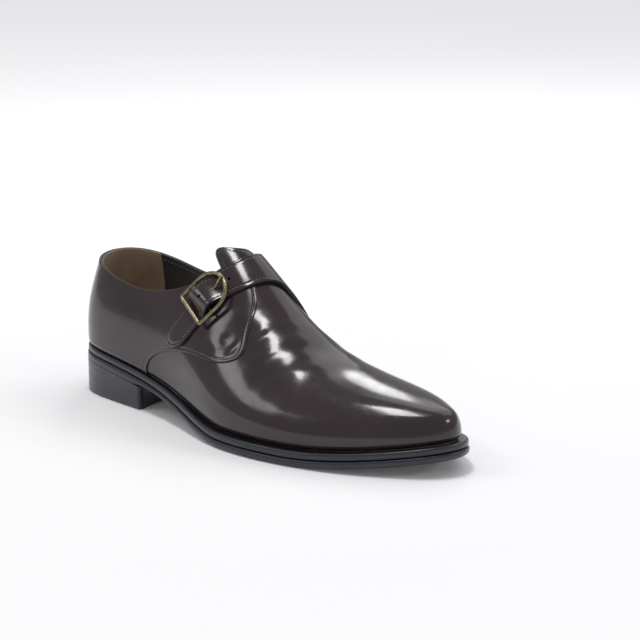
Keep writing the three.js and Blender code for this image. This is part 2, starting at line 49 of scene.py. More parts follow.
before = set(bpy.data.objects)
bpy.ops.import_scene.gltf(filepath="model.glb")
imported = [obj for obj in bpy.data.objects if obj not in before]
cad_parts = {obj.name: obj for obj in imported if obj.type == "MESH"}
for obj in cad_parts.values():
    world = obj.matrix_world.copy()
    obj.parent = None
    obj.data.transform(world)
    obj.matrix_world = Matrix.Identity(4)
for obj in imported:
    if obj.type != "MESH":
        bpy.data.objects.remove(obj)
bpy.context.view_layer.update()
MM = 0.001
HEEL_CENTRE_Y = 0.0031  # the heel's centre line in the frame
HEEL_BACK = Vector((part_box("outsole")[0].x, HEEL_CENTRE_Y, 0.0))

# ------------------------------------------------------------------ sizes of the form

OUTSOLE_THICK = 4.6
WELT_THICK = 4.2
GAP = 0.35
SOLE_LENGTH = 300.0
HEEL_BREAST_X = 74.0
BREAST_HOLLOW = 7.0
BREAST_HALF_WIDTH = 32.0
FEATHER_PINCH = 1.7
PINCH_HEIGHT = 3.6
SPRING_FROM = 218.0
TOE_SPRING = 10.0
SPRING_CURVE = 1.6
CONE_AXIS_X = 45.0
CONE_BLEND = 25.0
WALL_UP, SHOULDER_UP, CROWN_UP = 0.3, 0.68, 0.93

# The sole's plan: station, outer edge, inner edge, width of the welt beyond the upper.
SOLE = (
    (0, 0, 0, 1.5),
    (6, -19.6, 17.4, 1.5),
    (18, -30.4, 27.3, 1.6),
    (40, -35.4, 32.4, 1.8),
    (65, -36.8, 31.2, 2.2),
    (95, -39.4, 27.2, 2.9),
    (125, -46.2, 26.2, 3.8),
    (160, -55.4, 32.6, 4.7),
    (195, -56.2, 45.2, 4.9),
    (225, -50, 49.4, 4.9),
    (250, -40.4, 45.8, 4.9),
    (270, -28.8, 38.4, 4.9),
    (287, -15.6, 28.2, 4.9),
    (297, -3.2, 17.8, 4.9),
    (300, 7.4, 7.4, 4.9),
)
# The underside from the heel seat down to the flat of the forefoot: station, height.
ARCH = ((0, 22), (30, 19.9), (65, 16.2), (95, 11.6), (125, 6), (150, 1.6), (168, 0))
# The last at the same stations as the sole: crest line, its rise above the feather edge, then the
# shares of the way in to the crest at wall, shoulder and crown, outer side and inner side.
LAST = (
    (3, 89.5, 0.035, 0.21, 0.47, 0.035, 0.21, 0.47),
    (3, 89.8, 0.03, 0.21, 0.47, 0.03, 0.19, 0.46),
    (3, 90.6, 0.02, 0.235, 0.5, 0.01, 0.16, 0.45),
    (3, 92.5, 0, 0.265, 0.54, -0.03, 0.11, 0.46),
    (2.6, 94.4, -0.01, 0.27, 0.57, -0.07, 0.07, 0.47),
    (2, 95.4, -0.01, 0.29, 0.62, -0.13, 0.05, 0.51),
    (2, 91, -0.01, 0.34, 0.69, -0.14, 0.12, 0.59),
    (3, 71, -0.02, 0.34, 0.71, -0.07, 0.25, 0.66),
    (4, 48, -0.02, 0.28, 0.66, -0.03, 0.27, 0.66),
    (4.8, 37.4, -0.03, 0.22, 0.6, -0.03, 0.23, 0.61),
    (6, 31.4, -0.03, 0.19, 0.56, -0.03, 0.19, 0.57),
    (7.4, 26, -0.03, 0.18, 0.54, -0.03, 0.18, 0.54),
    (8, 20.2, -0.02, 0.18, 0.54, -0.02, 0.18, 0.54),
    (8, 13, -0.01, 0.19, 0.55, -0.01, 0.19, 0.55),
    (7.4, 0, 0, 0.2, 0.56, 0, 0.2, 0.56),
)
ACROSS = (-1, -0.75, -0.45, -0.2, 0, 0.2, 0.45, 0.75, 1)
# The edge of the opening seen from the side: station, height.
COLLAR = (
    (-8, 87.8),
    (6, 87),
    (20, 83.6),
    (40, 78.4),
    (60, 75.2),
    (80, 75.2),
    (96, 78),
    (108, 81.6),
    (118, 86.2),
    (127, 91.6),
    (135, 97.2),
    (141, 103),
    (144, 112),
)
# The outer quarter's free edge: station, v. It comes from under the strap, goes down to its corner,
# runs back a little lower than level and turns down to the feather edge.
OUTER_EDGE = (
    (148, -0.15),
    (156, -0.22),
    (163, -0.38),
    (166, -0.5),
    (162, -0.55),
    (135, -0.68),
    (104, -0.79),
    (89, -0.87),
    (82, -0.95),
    (81, -1),
)
# The inner quarter's free edge from the feather edge up to where it becomes the strap.
INNER_EDGE = (
    (86, 1),
    (100, 0.87),
    (132, 0.73),
    (162, 0.61),
    (168.5, 0.51),
    (167, 0.42),
)
# The strap from the inner quarter over the instep to its tip: v, back edge, front edge.
STRAP = (
    (0.42, 120, 167),
    (0.3, 127, 163.5),
    (0.2, 131.5, 160),
    (0.1, 134.5, 156),
    (0, 135, 153),
    (-0.1, 134, 150.3),
    (-0.2, 131, 147.5),
    (-0.33, 124.5, 141),
    (-0.45, 118.5, 134.5),
    (-0.57, 112.5, 128.5),
    (-0.69, 104.5, 121),
    (-0.76, 99.5, 115.5),
)
STRAP_TIP_V = -0.745
STRAP_ROUND = 0.075
BAR_V = -0.45
STRAP_LIFT = 0.45
HUMP_RISE = 5.1
HUMP_SPREAD_TIP = 0.045
HUMP_SPREAD_INSTEP = 0.075
# Where the vamp and its tongue begin: v, station. The middle rows are the tongue's round top.
VAMP_START = (
    (-1, 70),
    (-0.62, 106),
    (-0.34, 131),
    (-0.28, 129),
    (-0.24, 121),
    (-0.1, 124),
    (0.04, 131),
    (0.12, 137),
    (0.25, 136),
    (0.62, 110),
    (1, 84),
)
# The buckle: the ends of its straight end and the top of its arch: station, v, height off the upper.
BUCKLE_END_BACK = (117, -0.52, 5.5)
BUCKLE_END_FRONT = (128, -0.54, 5.0)
BUCKLE_ARCH = (138.5, -0.31, 6.8)
FRAME_WIDTH = 25.0
FRAME_LENGTH = 27.5
WIRE_RADIUS = 1.2
BAR_RADIUS = 0.8
BAR_AT = 10.0
BAR_DROP = 0.9
PRONG_RADIUS = 0.7
EYE_WIRE = 0.6
HOLE_STEP = 0.088
# The punched holes along the strap's middle, by v, the first over the middle bar.
STRAP_HOLES = tuple(BAR_V + HOLE_STEP * i for i in range(3))
HOLE_RADIUS = 1.0

QUARTER_OUT = 0.9  # the quarters stand this far out from the vamp
LEATHER = 1.7
LINING_FROM = 0.95
LINING_THICK = 0.9
LINING_DEEP = 75.0  # about how far it reaches down from the opening's edge
LINING_END_V = 0.97  # its rows run towards this v, close to the feather edge
TAN_LINING_TO = 25.0  # the light heel lining ends upright, this far from the heel's back
EDGE_ROUND = 0.55
# The opening's edge is paired with the feather edge up to here, and then with the free edge.
OUTER_PAIRED_TO = 58.0
INNER_PAIRED_TO = 60.0
OUTER_COLLAR_END_X = 136.0  # the outer opening's edge ends here, under the strap
INNER_COLLAR_END_X = 112.0  # the inner opening's edge becomes the strap's from here
CORNER_EASING = 120  # passes that ease that corner
SEAM_INSET = 2.3
SEAM_DEPTH = 0.16
SEAM_WIDTH = 0.5
# The floor's paper glows a little, more away from the shoe, so that it stays evenly pale.
FLOOR_GLOW_NEAR, FLOOR_GLOW_FAR = 0.05, 0.38
FLOOR_GLOW_FROM, FLOOR_GLOW_TO = 0.25, 1.3  # metres from the shoe's middle

# ------------------------------------------------------------------ splines and the form


def spline(knots, values, start_flat=False, end_flat=False):
    """A cubic spline through values at knots, level or free at each end."""
    x = np.asarray(knots, float)
    y = np.asarray(values, float).reshape(len(x), -1)
    flat = np.ndim(values) == 1
    count = len(x)
    step = np.diff(x)
    rise = np.diff(y, axis=0) / step[:, None]
    rows = np.eye(count)
    right = np.zeros_like(y)
    for i in range(1, count - 1):
        rows[i, i - 1 : i + 2] = step[i - 1], 2 * (step[i - 1] + step[i]), step[i]
        right[i] = 6 * (rise[i] - rise[i - 1])
    if start_flat:
        rows[0, :2] = 2 * step[0], step[0]
        right[0] = 6 * rise[0]
    if end_flat:
        rows[-1, -2:] = step[-1], 2 * step[-1]
        right[-1] = -6 * rise[-1]
    bend = np.linalg.solve(rows, right)

    def at(where):
        where = np.asarray(where, float)
        i = np.clip(np.searchsorted(x, where) - 1, 0, count - 2)
        h = step[i][..., None]
        b = (where - x[i])[..., None] / h
        a = 1 - b
        made = a * y[i] + b * y[i + 1]
        made = made + ((a**3 - a) * bend[i] + (b**3 - b) * bend[i + 1]) * h * h / 6
        return made[..., 0] if flat else made

    return at


SOLE_X, SOLE_OUTER, SOLE_INNER, SOLE_WELT = np.array(SOLE, float).T
HALF_WIDTH = (SOLE_INNER - SOLE_OUTER) / 2
KNOTS = np.concatenate([[0], np.cumsum(np.hypot(np.diff(SOLE_X), np.diff(HALF_WIDTH)))])
TOE = KNOTS[-1]
LAST_LENGTH = SOLE_LENGTH - SOLE_WELT[-1]
outline_x = spline(KNOTS, SOLE_X, True, True)
welt_width = spline(KNOTS, SOLE_WELT, True, True)
crest_rise = spline(KNOTS, [row[1] for row in LAST], True, False)
crest_y = spline(KNOTS, [row[0] for row in LAST], True, True)
shares = spline(KNOTS, [row[2:] for row in LAST], True, True)
across_weights = spline(ACROSS, np.eye(len(ACROSS)))
collar_z = spline(*zip(*COLLAR))
arch_z = spline(*zip(*ARCH), False, True)
outline_loop = spline(
    np.concatenate([-KNOTS[:0:-1], KNOTS, 2 * TOE - KNOTS[-2::-1]]),
    np.concatenate([SOLE_INNER[:0:-1], SOLE_OUTER, SOLE_INNER[-2::-1]]),
)
FINE_T = np.linspace(0, TOE, 6000)
FINE_X = outline_x(FINE_T)


def station(x):
    """The station parameter at a distance from the back of the heel."""
    return np.interp(x, FINE_X, FINE_T)


def outline_y(t, side):
    if side < 0:
        return outline_loop(t)
    return outline_loop(np.where(t <= TOE / 2, -t, 2 * TOE - t))


def under_z(x):
    """The sole's underside: flat at the forefoot, up under the arch and at the toe."""
    x = np.asarray(x, float)
    share = np.maximum(0, x - SPRING_FROM) / (SOLE_LENGTH - SPRING_FROM)
    return np.where(x < ARCH[-1][0], arch_z(np.maximum(x, 0)), TOE_SPRING * share**SPRING_CURVE)


def feather_z(x):
    return under_z(x) + OUTSOLE_THICK + WELT_THICK + 2 * GAP


def outward(t, side):
    """The outline's outward direction in plan."""
    d = 0.05
    a, b = np.maximum(t - d, 0), np.minimum(t + d, TOE)
    dx = np.where((t < d) | (t > TOE - d), 0, outline_x(b) - outline_x(a))
    dy = outline_y(b, side) - outline_y(a, side)
    length = np.hypot(dx, dy)
    return np.stack([-side * dy / length, side * dx / length], -1)


def inset(t, side, distance, z_of):
    """Points set in from the sole's edge; z_of gives their height from their station."""
    out = outward(t, side)
    x = outline_x(t) - out[..., 0] * distance
    y = outline_y(t, side) - out[..., 1] * distance
    return np.stack([x, y, z_of(x) + 0 * x], -1)


def section(t):
    """The nine points of the last's section at each t."""
    outer = inset(t, -1, welt_width(t), feather_z)
    inner = inset(t, 1, welt_width(t), feather_z)
    along = (outer[..., 0] + inner[..., 0]) / 2
    behind = CONE_AXIS_X - along
    lead = (behind + np.hypot(behind, CONE_BLEND)) / 2 * (1 - along / LAST_LENGTH)
    crest = np.stack([along + lead, crest_y(t), feather_z(along) + crest_rise(t)], -1)
    share = shares(t)

    def between(foot, column, up):
        part = share[..., column, None]
        flat = foot[..., :2] + (crest[..., :2] - foot[..., :2]) * part
        high = foot[..., 2:] + (crest[..., 2:] - foot[..., 2:]) * up
        return np.concatenate([flat, high], -1)

    rises = (WALL_UP, SHOULDER_UP, CROWN_UP)
    left = [between(outer, i, up) for i, up in enumerate(rises)]
    right = [between(inner, i + 3, up) for i, up in enumerate(rises)]
    return np.stack([outer, *left, crest, *right[::-1], inner], -2)


def on_last(t, v):
    """Points of the last's surface."""
    t, v = np.broadcast_arrays(np.asarray(t, float), np.asarray(v, float))
    p = (across_weights(v)[..., None] * section(t)).sum(-2)
    rise = np.maximum(0, 1 - (p[..., 2] - feather_z(p[..., 0])) / PINCH_HEIGHT)
    out = outward(t, -1) * ((1 - v) / 2)[..., None] + outward(t, 1) * ((1 + v) / 2)[..., None]
    out /= np.linalg.norm(out, axis=-1)[..., None]
    p[..., :2] -= out * (FEATHER_PINCH * rise**2)[..., None]
    return p


def normals(t, v):
    """The outward normals of the last's surface."""
    t, v = np.broadcast_arrays(np.asarray(t, float), np.asarray(v, float))

    def one_side(w):
        s = np.clip(t, 1, TOE - 1.5)
        w = np.clip(w, -0.98, 0.98)
        n = np.cross(on_last(s + 0.5, w) - on_last(s - 0.5, w), on_last(s, w + 0.02) - on_last(s, w - 0.02))
        return n / np.linalg.norm(n, axis=-1)[..., None]

    made = one_side(v)
    made = np.where((t < 1e-6)[..., None], made + one_side(-v), made)
    made = np.where((t > TOE - 1e-6)[..., None], np.array([1.0, 0, 0]), made)
    return made / np.linalg.norm(made, axis=-1)[..., None]


# Soft folds and hollows of the leather: station, v, half length, half width (mm along and across
# the shoe), turn in degrees, height.
FOLDS = (
    (163, -0.2, 9, 2.8, 40, -0.35),
    (168, -0.3, 10, 3, 58, 0.3),
    (173, -0.26, 12, 3.2, 66, -0.5),
    (181, -0.33, 12, 3.2, 52, 0.4),
    (188, -0.24, 17, 4, 68, -0.4),
    (198, -0.36, 14, 4, 60, 0.3),
    (152, -0.495, 4, 1.8, 25, -0.4),
    (159.5, -0.495, 4, 1.8, 60, -0.45),
    (146, -0.56, 7, 2.4, 15, 0.3),
    (176, 0.02, 17, 4.5, 84, -0.35),
    (196, 0.1, 24, 6, 88, -0.4),
    (205, -0.25, 22, 6, 78, 0.3),
    (211, 0.3, 20, 5, 96, -0.3),
    (157, -0.52, 6, 3, 20, -0.35),
    (152, -0.36, 10, 4, 40, 0.3),
    (60, -0.55, 26, 10, 8, -0.4),
    (70, 0.6, 26, 12, 0, -0.6),
)
ACROSS_MM = 78.0  # what one unit of v measures over the forepart


def crease(t, v):
    """How far the leather's folds lift it off the smooth last."""
    t, v = np.broadcast_arrays(np.asarray(t, float), np.asarray(v, float))
    x = outline_x(t)
    made = np.zeros(np.shape(t))
    for at_x, at_v, long, wide, turn, height in FOLDS:
        c, s = math.cos(math.radians(turn)), math.sin(math.radians(turn))
        dx, dy = x - at_x, (v - at_v) * ACROSS_MM
        along, over = dx * c + dy * s, dy * c - dx * s
        over = over + 0.012 * along**2 * np.sign(long)
        made += height * np.exp(-((along / long) ** 2) - (over / wide) ** 2)
    return made * np.clip((1 - np.abs(v)) / 0.1, 0, 1)


def collar_v(t, side):
    """Where each section crosses the opening's edge, on one side."""
    low, high = np.full(np.shape(t), 0.0), np.full(np.shape(t), 1.0)
    for _ in range(30):
        middle = (low + high) / 2
        p = on_last(t, side * middle)
        above = p[..., 2] > collar_z(p[..., 0])
        low, high = np.where(above, middle, low), np.where(above, high, middle)
    return side * high


# ------------------------------------------------------------------ meshes


def placed(points):
    """Points in millimetres from the heel's back, as metres in the frame."""
    return np.asarray(points, float).reshape(-1, 3) * MM + np.array(HEEL_BACK)


def new_piece(name, points, faces, materials, face_materials=None, smooth=True):
    """A closed mesh object with its doubles merged and its faces outwards."""
    mesh = bpy.data.meshes.new(name)
    mesh.from_pydata(placed(points).tolist(), [], faces)
    for material in materials:
        mesh.materials.append(material)
    if face_materials is not None:
        mesh.polygons.foreach_set("material_index", np.asarray(face_materials, np.int32))
    work = bmesh.new()
    work.from_mesh(mesh)
    bmesh.ops.remove_doubles(work, verts=work.verts, dist=2e-6)
    bmesh.ops.dissolve_degenerate(work, edges=work.edges, dist=1e-6)
    if work.calc_volume(signed=True) < 0:
        bmesh.ops.reverse_faces(work, faces=work.faces)
    work.to_mesh(mesh)
    work.free()
    mesh.polygons.foreach_set("use_smooth", np.full(len(mesh.polygons), smooth))
    piece = bpy.data.objects.new(name, mesh)
    bpy.context.scene.collection.objects.link(piece)
    return piece


def finish_piece(piece, slot, *nodes):
    """The piece rides with the shoe and stands for its nodes; slot is not used."""
    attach(piece, "root")
    if nodes:
        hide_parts(*nodes)


def grid_faces(rows, columns, start=0, turned=False, closed=False):
    made = []
    last = columns if closed else columns - 1
    for i in range(rows - 1):
        for j in range(last):
            k = (j + 1) % columns
            quad = [start + i * columns + j, start + i * columns + k]
            quad += [start + (i + 1) * columns + k, start + (i + 1) * columns + j]
            made.append(quad[::-1] if turned else quad)
    return made


def border(rows, columns):
    """The grid's border as one loop of indices."""
    top = [j for j in range(columns)]
    right = [i * columns + columns - 1 for i in range(1, rows)]
    bottom = [(rows - 1) * columns + j for j in range(columns - 2, -1, -1)]
    left = [i * columns for i in range(rows - 2, 0, -1)]
    return top + right + bottom + left


def leather_sheet(name, outer, inner, materials, groove=0.12):
    """Two grids of points joined round their border, with a fine groove along the cut edge."""
    rows, columns = outer.shape[:2]
    count = rows * columns
    loop = border(rows, columns)
    a, b = outer.reshape(-1, 3), inner.reshape(-1, 3)
    middle = a.mean(0)
    rim = []
    for share, depth in ((0.35, 0), (0.5, groove), (0.65, 0)):
        ring = a[loop] * (1 - share) + b[loop] * share
        inwards = np.gradient(ring, axis=0)
        side = np.cross(inwards, a[loop] - b[loop])
        side /= np.maximum(np.linalg.norm(side, axis=1), 1e-9)[:, None]
        if ((ring - middle) * side).sum() > 0:
            side = -side
        rim.append(ring + side * depth)
    points = np.concatenate([a, b, *rim])
    faces = grid_faces(rows, columns, 0)
    faces += grid_faces(rows, columns, count, turned=True)
    kinds = [0] * (len(faces) // 2) + [2] * (len(faces) // 2)
    rings = [loop]
    for i in range(len(rim)):
        rings.append([2 * count + i * len(loop) + j for j in range(len(loop))])
    rings.append([count + j for j in loop])
    for one, other in zip(rings, rings[1:]):
        for j in range(len(loop)):
            k = (j + 1) % len(loop)
            faces.append([one[j], other[j], other[k], one[k]])
            kinds.append(1)
    return new_piece(name, points, faces, materials, kinds)


def tube(path, radius, sides=16, closed=False, ends=True):
    """Points and faces of a round wire along a path, with domed ends."""
    path = np.asarray(path, float)
    count = len(path)
    if closed:
        tangent = np.roll(path, -1, 0) - np.roll(path, 1, 0)
    else:
        tangent = np.gradient(path, axis=0)
    tangent /= np.linalg.norm(tangent, axis=1)[:, None]
    normal = np.cross(tangent[0], [0.31, 0.2, 0.93])
    radii = np.full(count, float(radius)) if np.isscalar(radius) else np.asarray(radius, float)
    points = []
    turns = np.arange(sides) * 2 * math.pi / sides
    for i in range(count):
        normal = normal - tangent[i] * (normal @ tangent[i])
        normal /= np.linalg.norm(normal)
        other = np.cross(tangent[i], normal)
        ring = path[i] + radii[i] * (np.cos(turns)[:, None] * normal + np.sin(turns)[:, None] * other)
        points.append(ring)
    faces = grid_faces(count, sides, closed=True)
    if closed:
        first = points[0]
        shift = int(np.argmin(np.linalg.norm(first - (points[-1][0] + path[0] - path[-1]), axis=1)))
        for j in range(sides):
            k = (j + 1) % sides
            one = (count - 1) * sides
            faces.append([one + j, one + k, (k + shift) % sides, (j + shift) % sides])
        return np.concatenate(points), faces
    body = np.concatenate(points)
    if ends:
        for at, ring_start, way in ((0, 0, -1), (-1, (count - 1) * sides, 1)):
            last = ring_start
            for lift, scale in ((0.5, 0.86), (0.86, 0.5)):
                centre = path[at] + tangent[at] * way * radii[at] * lift
                ring = centre + (body[ring_start : ring_start + sides] - path[at]) * scale
                start = len(body)
                body = np.concatenate([body, ring])
                for j in range(sides):
                    k = (j + 1) % sides
                    quad = [last + j, last + k, start + k, start + j]
                    faces.append(quad if way > 0 else quad[::-1])
                last = start
            fan = list(range(last, last + sides))
            faces.append(fan if way > 0 else fan[::-1])
    return body, faces


def distance_to(points, line):
    """The distance from each point of a grid to a polyline given as closely spaced points."""
    tree = KDTree(len(line))
    for i, p in enumerate(line):
        tree.insert(p, i)
    tree.balance()
    flat = points.reshape(-1, 3)
    return np.array([tree.find(p)[2] for p in flat]).reshape(points.shape[:-1])


def dense(line, count=4000):
    """A polyline resampled evenly."""
    line = np.asarray(line, float)
    run = np.concatenate([[0], np.cumsum(np.linalg.norm(np.diff(line, axis=0), axis=1))])
    at = np.linspace(0, run[-1], count)
    return np.stack([np.interp(at, run, line[:, i]) for i in range(line.shape[1])], -1)


def smooth_curve(points, count):
    """A smooth curve through (station, v) points, as (t, v), evenly spaced over the shoe."""
    points = np.asarray(points, float)
    tv = np.stack([station(points[:, 0]), points[:, 1]], -1)
    on = on_last(tv[:, 0], tv[:, 1])
    run = np.concatenate([[0], np.cumsum(np.linalg.norm(np.diff(on, axis=0), axis=1))])
    curve = spline(run, tv)
    fine = curve(np.linspace(0, run[-1], 1500))
    on = on_last(fine[:, 0], fine[:, 1])
    run = np.concatenate([[0], np.cumsum(np.linalg.norm(np.diff(on, axis=0), axis=1))])
    at = np.linspace(0, run[-1], count)
    return np.stack([np.interp(at, run, fine[:, 0]), np.interp(at, run, fine[:, 1])], -1)


EDGE_ROWS = (0, 0.12, 0.28, 0.5, 0.85, 1.3, 1.8, 2.3, 2.8, 3.4)


def ruled(top, bottom, middle_rows):
    """A grid of (t, v) between two curves, with close rows near both."""
    ends = on_last(top[:, 0], top[:, 1]) - on_last(bottom[:, 0], bottom[:, 1])
    length = np.maximum(np.linalg.norm(ends, axis=1), 1e-3)
    edge = np.minimum(EDGE_ROWS[-1], 0.35 * length) / EDGE_ROWS[-1]
    near = np.array(EDGE_ROWS)[:, None] * edge / length
    inside = np.linspace(0, 1, middle_rows + 2)[1:-1, None]
    between = near[-1] + (1 - 2 * near[-1]) * inside
    share = np.concatenate([near, between, 1 - near[::-1]])[..., None]
    return top * (1 - share) + bottom * share


def edge_drop(distance, radius=EDGE_ROUND):
    """How far a rounded edge falls, by the distance from it."""
    short = np.clip(radius - distance, 0, radius)
    return radius - np.sqrt(radius**2 - short**2)


def seam_hollow(distance, at=SEAM_INSET):
    return SEAM_DEPTH * np.exp(-(((distance - at) / SEAM_WIDTH) ** 2))


def seam_line(grid, distance, at, from_top=True):
    """The line on a grid's surface at one distance from an edge, column by column."""
    rows, columns = distance.shape
    order = list(range(rows))[:: 1 if from_top else -1]
    made = []
    for j in range(columns):
        d = distance[order, j]
        over = np.nonzero(d >= at)[0]
        if len(over) == 0 or over[0] == 0:
            continue
        i = over[0]
        share = (at - d[i - 1]) / (d[i] - d[i - 1])
        made.append(grid[order[i - 1], j] * (1 - share) + grid[order[i], j] * share)
    return np.array(made)


# ------------------------------------------------------------------ materials


def shader(name):
    material = bpy.data.materials.new(name)
    material.use_nodes = True
    tree = material.node_tree
    return material, tree, tree.nodes["Principled BSDF"]


def noise(tree, scale, detail=2.0, stretch=(1, 1, 1), roughness=0.5):
    """Noise on object coordinates; scale is in repeats a metre."""
    coordinates = tree.nodes.new("ShaderNodeTexCoord")
    mapping = tree.nodes.new("ShaderNodeMapping")
    mapping.inputs["Scale"].default_value = stretch
    made = tree.nodes.new("ShaderNodeTexNoise")
    made.inputs["Scale"].default_value = scale
    made.inputs["Detail"].default_value = detail
    made.inputs["Roughness"].default_value = roughness
    tree.links.new(coordinates.outputs["Object"], mapping.inputs["Vector"])
    tree.links.new(mapping.outputs["Vector"], made.inputs["Vector"])
    return made.outputs["Fac"]


def pores(tree, scale):
    """The small cells of leather grain."""
    coordinates = tree.nodes.new("ShaderNodeTexCoord")
    made = tree.nodes.new("ShaderNodeTexVoronoi")
    made.inputs["Scale"].default_value = scale
    tree.links.new(coordinates.outputs["Object"], made.inputs["Vector"])
    return made.outputs["Distance"]


def between(tree, factor, low, high, start=0.3, end=0.7):
    """A number that runs from low to high as the factor goes from start to end."""
    made = tree.nodes.new("ShaderNodeMapRange")
    for key, value in (("From Min", start), ("From Max", end), ("To Min", low), ("To Max", high)):
        made.inputs[key].default_value = value
    tree.links.new(factor, made.inputs["Value"])
    return made.outputs["Result"]


def blend_colours(tree, factor, one, other, start=0.3, end=0.7):
    ramp = tree.nodes.new("ShaderNodeValToRGB")
    ramp.color_ramp.elements[0].position = start
    ramp.color_ramp.elements[1].position = end
    ramp.color_ramp.elements[0].color = (*one, 1)
    ramp.color_ramp.elements[1].color = (*other, 1)
    tree.links.new(factor, ramp.inputs["Fac"])
    return ramp.outputs["Color"]


def bump(tree, height, strength, distance, below=None):
    made = tree.nodes.new("ShaderNodeBump")
    made.inputs["Strength"].default_value = strength
    made.inputs["Distance"].default_value = distance
    tree.links.new(height, made.inputs["Height"])
    if below is not None:
        tree.links.new(below, made.inputs["Normal"])
    return made.outputs["Normal"]


def tint(colour, factor):
    return tuple(min(1.0, c * factor) for c in colour)


def shade(tree, surface, pattern, dark, light):
    """Lets the surface's colour vary between two with a pattern."""
    tree.links.new(blend_colours(tree, pattern, dark, light), surface.inputs["Base Color"])


def polished_leather(name, colour):
    material, tree, surface = shader(name)
    broad = noise(tree, 28, 3)
    shade(tree, surface, broad, tint(colour, 0.72), tint(colour, 1.35))
    tree.links.new(between(tree, noise(tree, 160, 4), 0.11, 0.2), surface.inputs["Roughness"])
    surface.inputs["Specular IOR Level"].default_value = 0.5
    surface.inputs["Coat Weight"].default_value = 0.12
    surface.inputs["Coat Roughness"].default_value = 0.06
    waves = bump(tree, noise(tree, 55, 2), 0.25, 0.0005)
    grain = bump(tree, pores(tree, 2600), 0.10, 0.00006, waves)
    fine = bump(tree, noise(tree, 5200, 2), 0.12, 0.00003, grain)
    tree.links.new(fine, surface.inputs["Normal"])
    tree.links.new(waves, surface.inputs["Coat Normal"])
    return material


def cut_edge(name, colour):
    """The painted cut edge of leather, with its layers showing faintly."""
    material, tree, surface = shader(name)
    layers = noise(tree, 900, 4, (0.25, 0.25, 1))
    shade(tree, surface, layers, tint(colour, 0.6), tint(colour, 2.2))
    tree.links.new(between(tree, noise(tree, 1500, 3), 0.3, 0.5), surface.inputs["Roughness"])
    tree.links.new(bump(tree, layers, 0.4, 0.0001), surface.inputs["Normal"])
    return material


def suede(name, colour, deep):
    """Lining leather with a short nap."""
    material, tree, surface = shader(name)
    nap = noise(tree, 700, 6, roughness=0.7)
    shade(tree, surface, noise(tree, 60, 5), deep, colour)
    surface.inputs["Roughness"].default_value = 0.85
    surface.inputs["Sheen Weight"].default_value = 0.25
    tree.links.new(bump(tree, nap, 0.5, 0.00025), surface.inputs["Normal"])
    return material


def sole_edge(name, colour):
    """Blacked and burnished sole leather, with the fine run of its layers."""
    material, tree, surface = shader(name)
    run = noise(tree, 420, 5, (0.12, 0.12, 1.6))
    shade(tree, surface, noise(tree, 40, 4), tint(colour, 0.7), tint(colour, 1.5))
    tree.links.new(between(tree, run, 0.28, 0.46), surface.inputs["Roughness"])
    surface.inputs["Coat Weight"].default_value = 0.25
    surface.inputs["Coat Roughness"].default_value = 0.25
    first = bump(tree, run, 0.3, 0.00018)
    tree.links.new(bump(tree, noise(tree, 90, 3), 0.4, 0.0004, first), surface.inputs["Normal"])
    return material


def aged_brass(name, colour):
    material, tree, surface = shader(name)
    patches = noise(tree, 320, 5)
    shade(tree, surface, patches, tint(colour, 0.45), tint(colour, 1.25))
    surface.inputs["Metallic"].default_value = 1.0
    tree.links.new(between(tree, noise(tree, 700, 4), 0.22, 0.42), surface.inputs["Roughness"])
    tree.links.new(bump(tree, noise(tree, 1400, 4), 0.3, 0.00008), surface.inputs["Normal"])
    return material


# The thread colour it is given is in part painted highlight, lighter than the thread's own dark brown.
def thread(name, colour):
    material, tree, surface = shader(name)
    twist = noise(tree, 3000, 2)
    shade(tree, surface, twist, tint(colour, 0.6), tint(colour, 1.6))
    surface.inputs["Roughness"].default_value = 0.45
    tree.links.new(bump(tree, twist, 0.6, 0.0001), surface.inputs["Normal"])
    return material


def floor_finish(name):
    material, tree, surface = shader(name)
    soft = noise(tree, 1.5, 2)
    shade(tree, surface, soft, (0.93, 0.93, 0.935), (0.95, 0.95, 0.952))
    surface.inputs["Roughness"].default_value = 0.9
    surface.inputs["Specular IOR Level"].default_value = 0.1
    place, reach = tree.nodes.new("ShaderNodeTexCoord"), tree.nodes.new("ShaderNodeVectorMath")
    reach.operation = "LENGTH"
    tree.links.new(place.outputs["Object"], reach.inputs[0])
    away = reach.outputs["Value"]
    glow = between(tree, away, FLOOR_GLOW_NEAR, FLOOR_GLOW_FAR, FLOOR_GLOW_FROM, FLOOR_GLOW_TO)
    surface.inputs["Emission Color"].default_value = (1, 1, 1, 1)
    tree.links.new(glow, surface.inputs["Emission Strength"])
    return material


def finish_of(name):
    """A material by name, made by the finishes operator."""
    return bpy.data.materials[name]


# ------------------------------------------------------------------ stitches


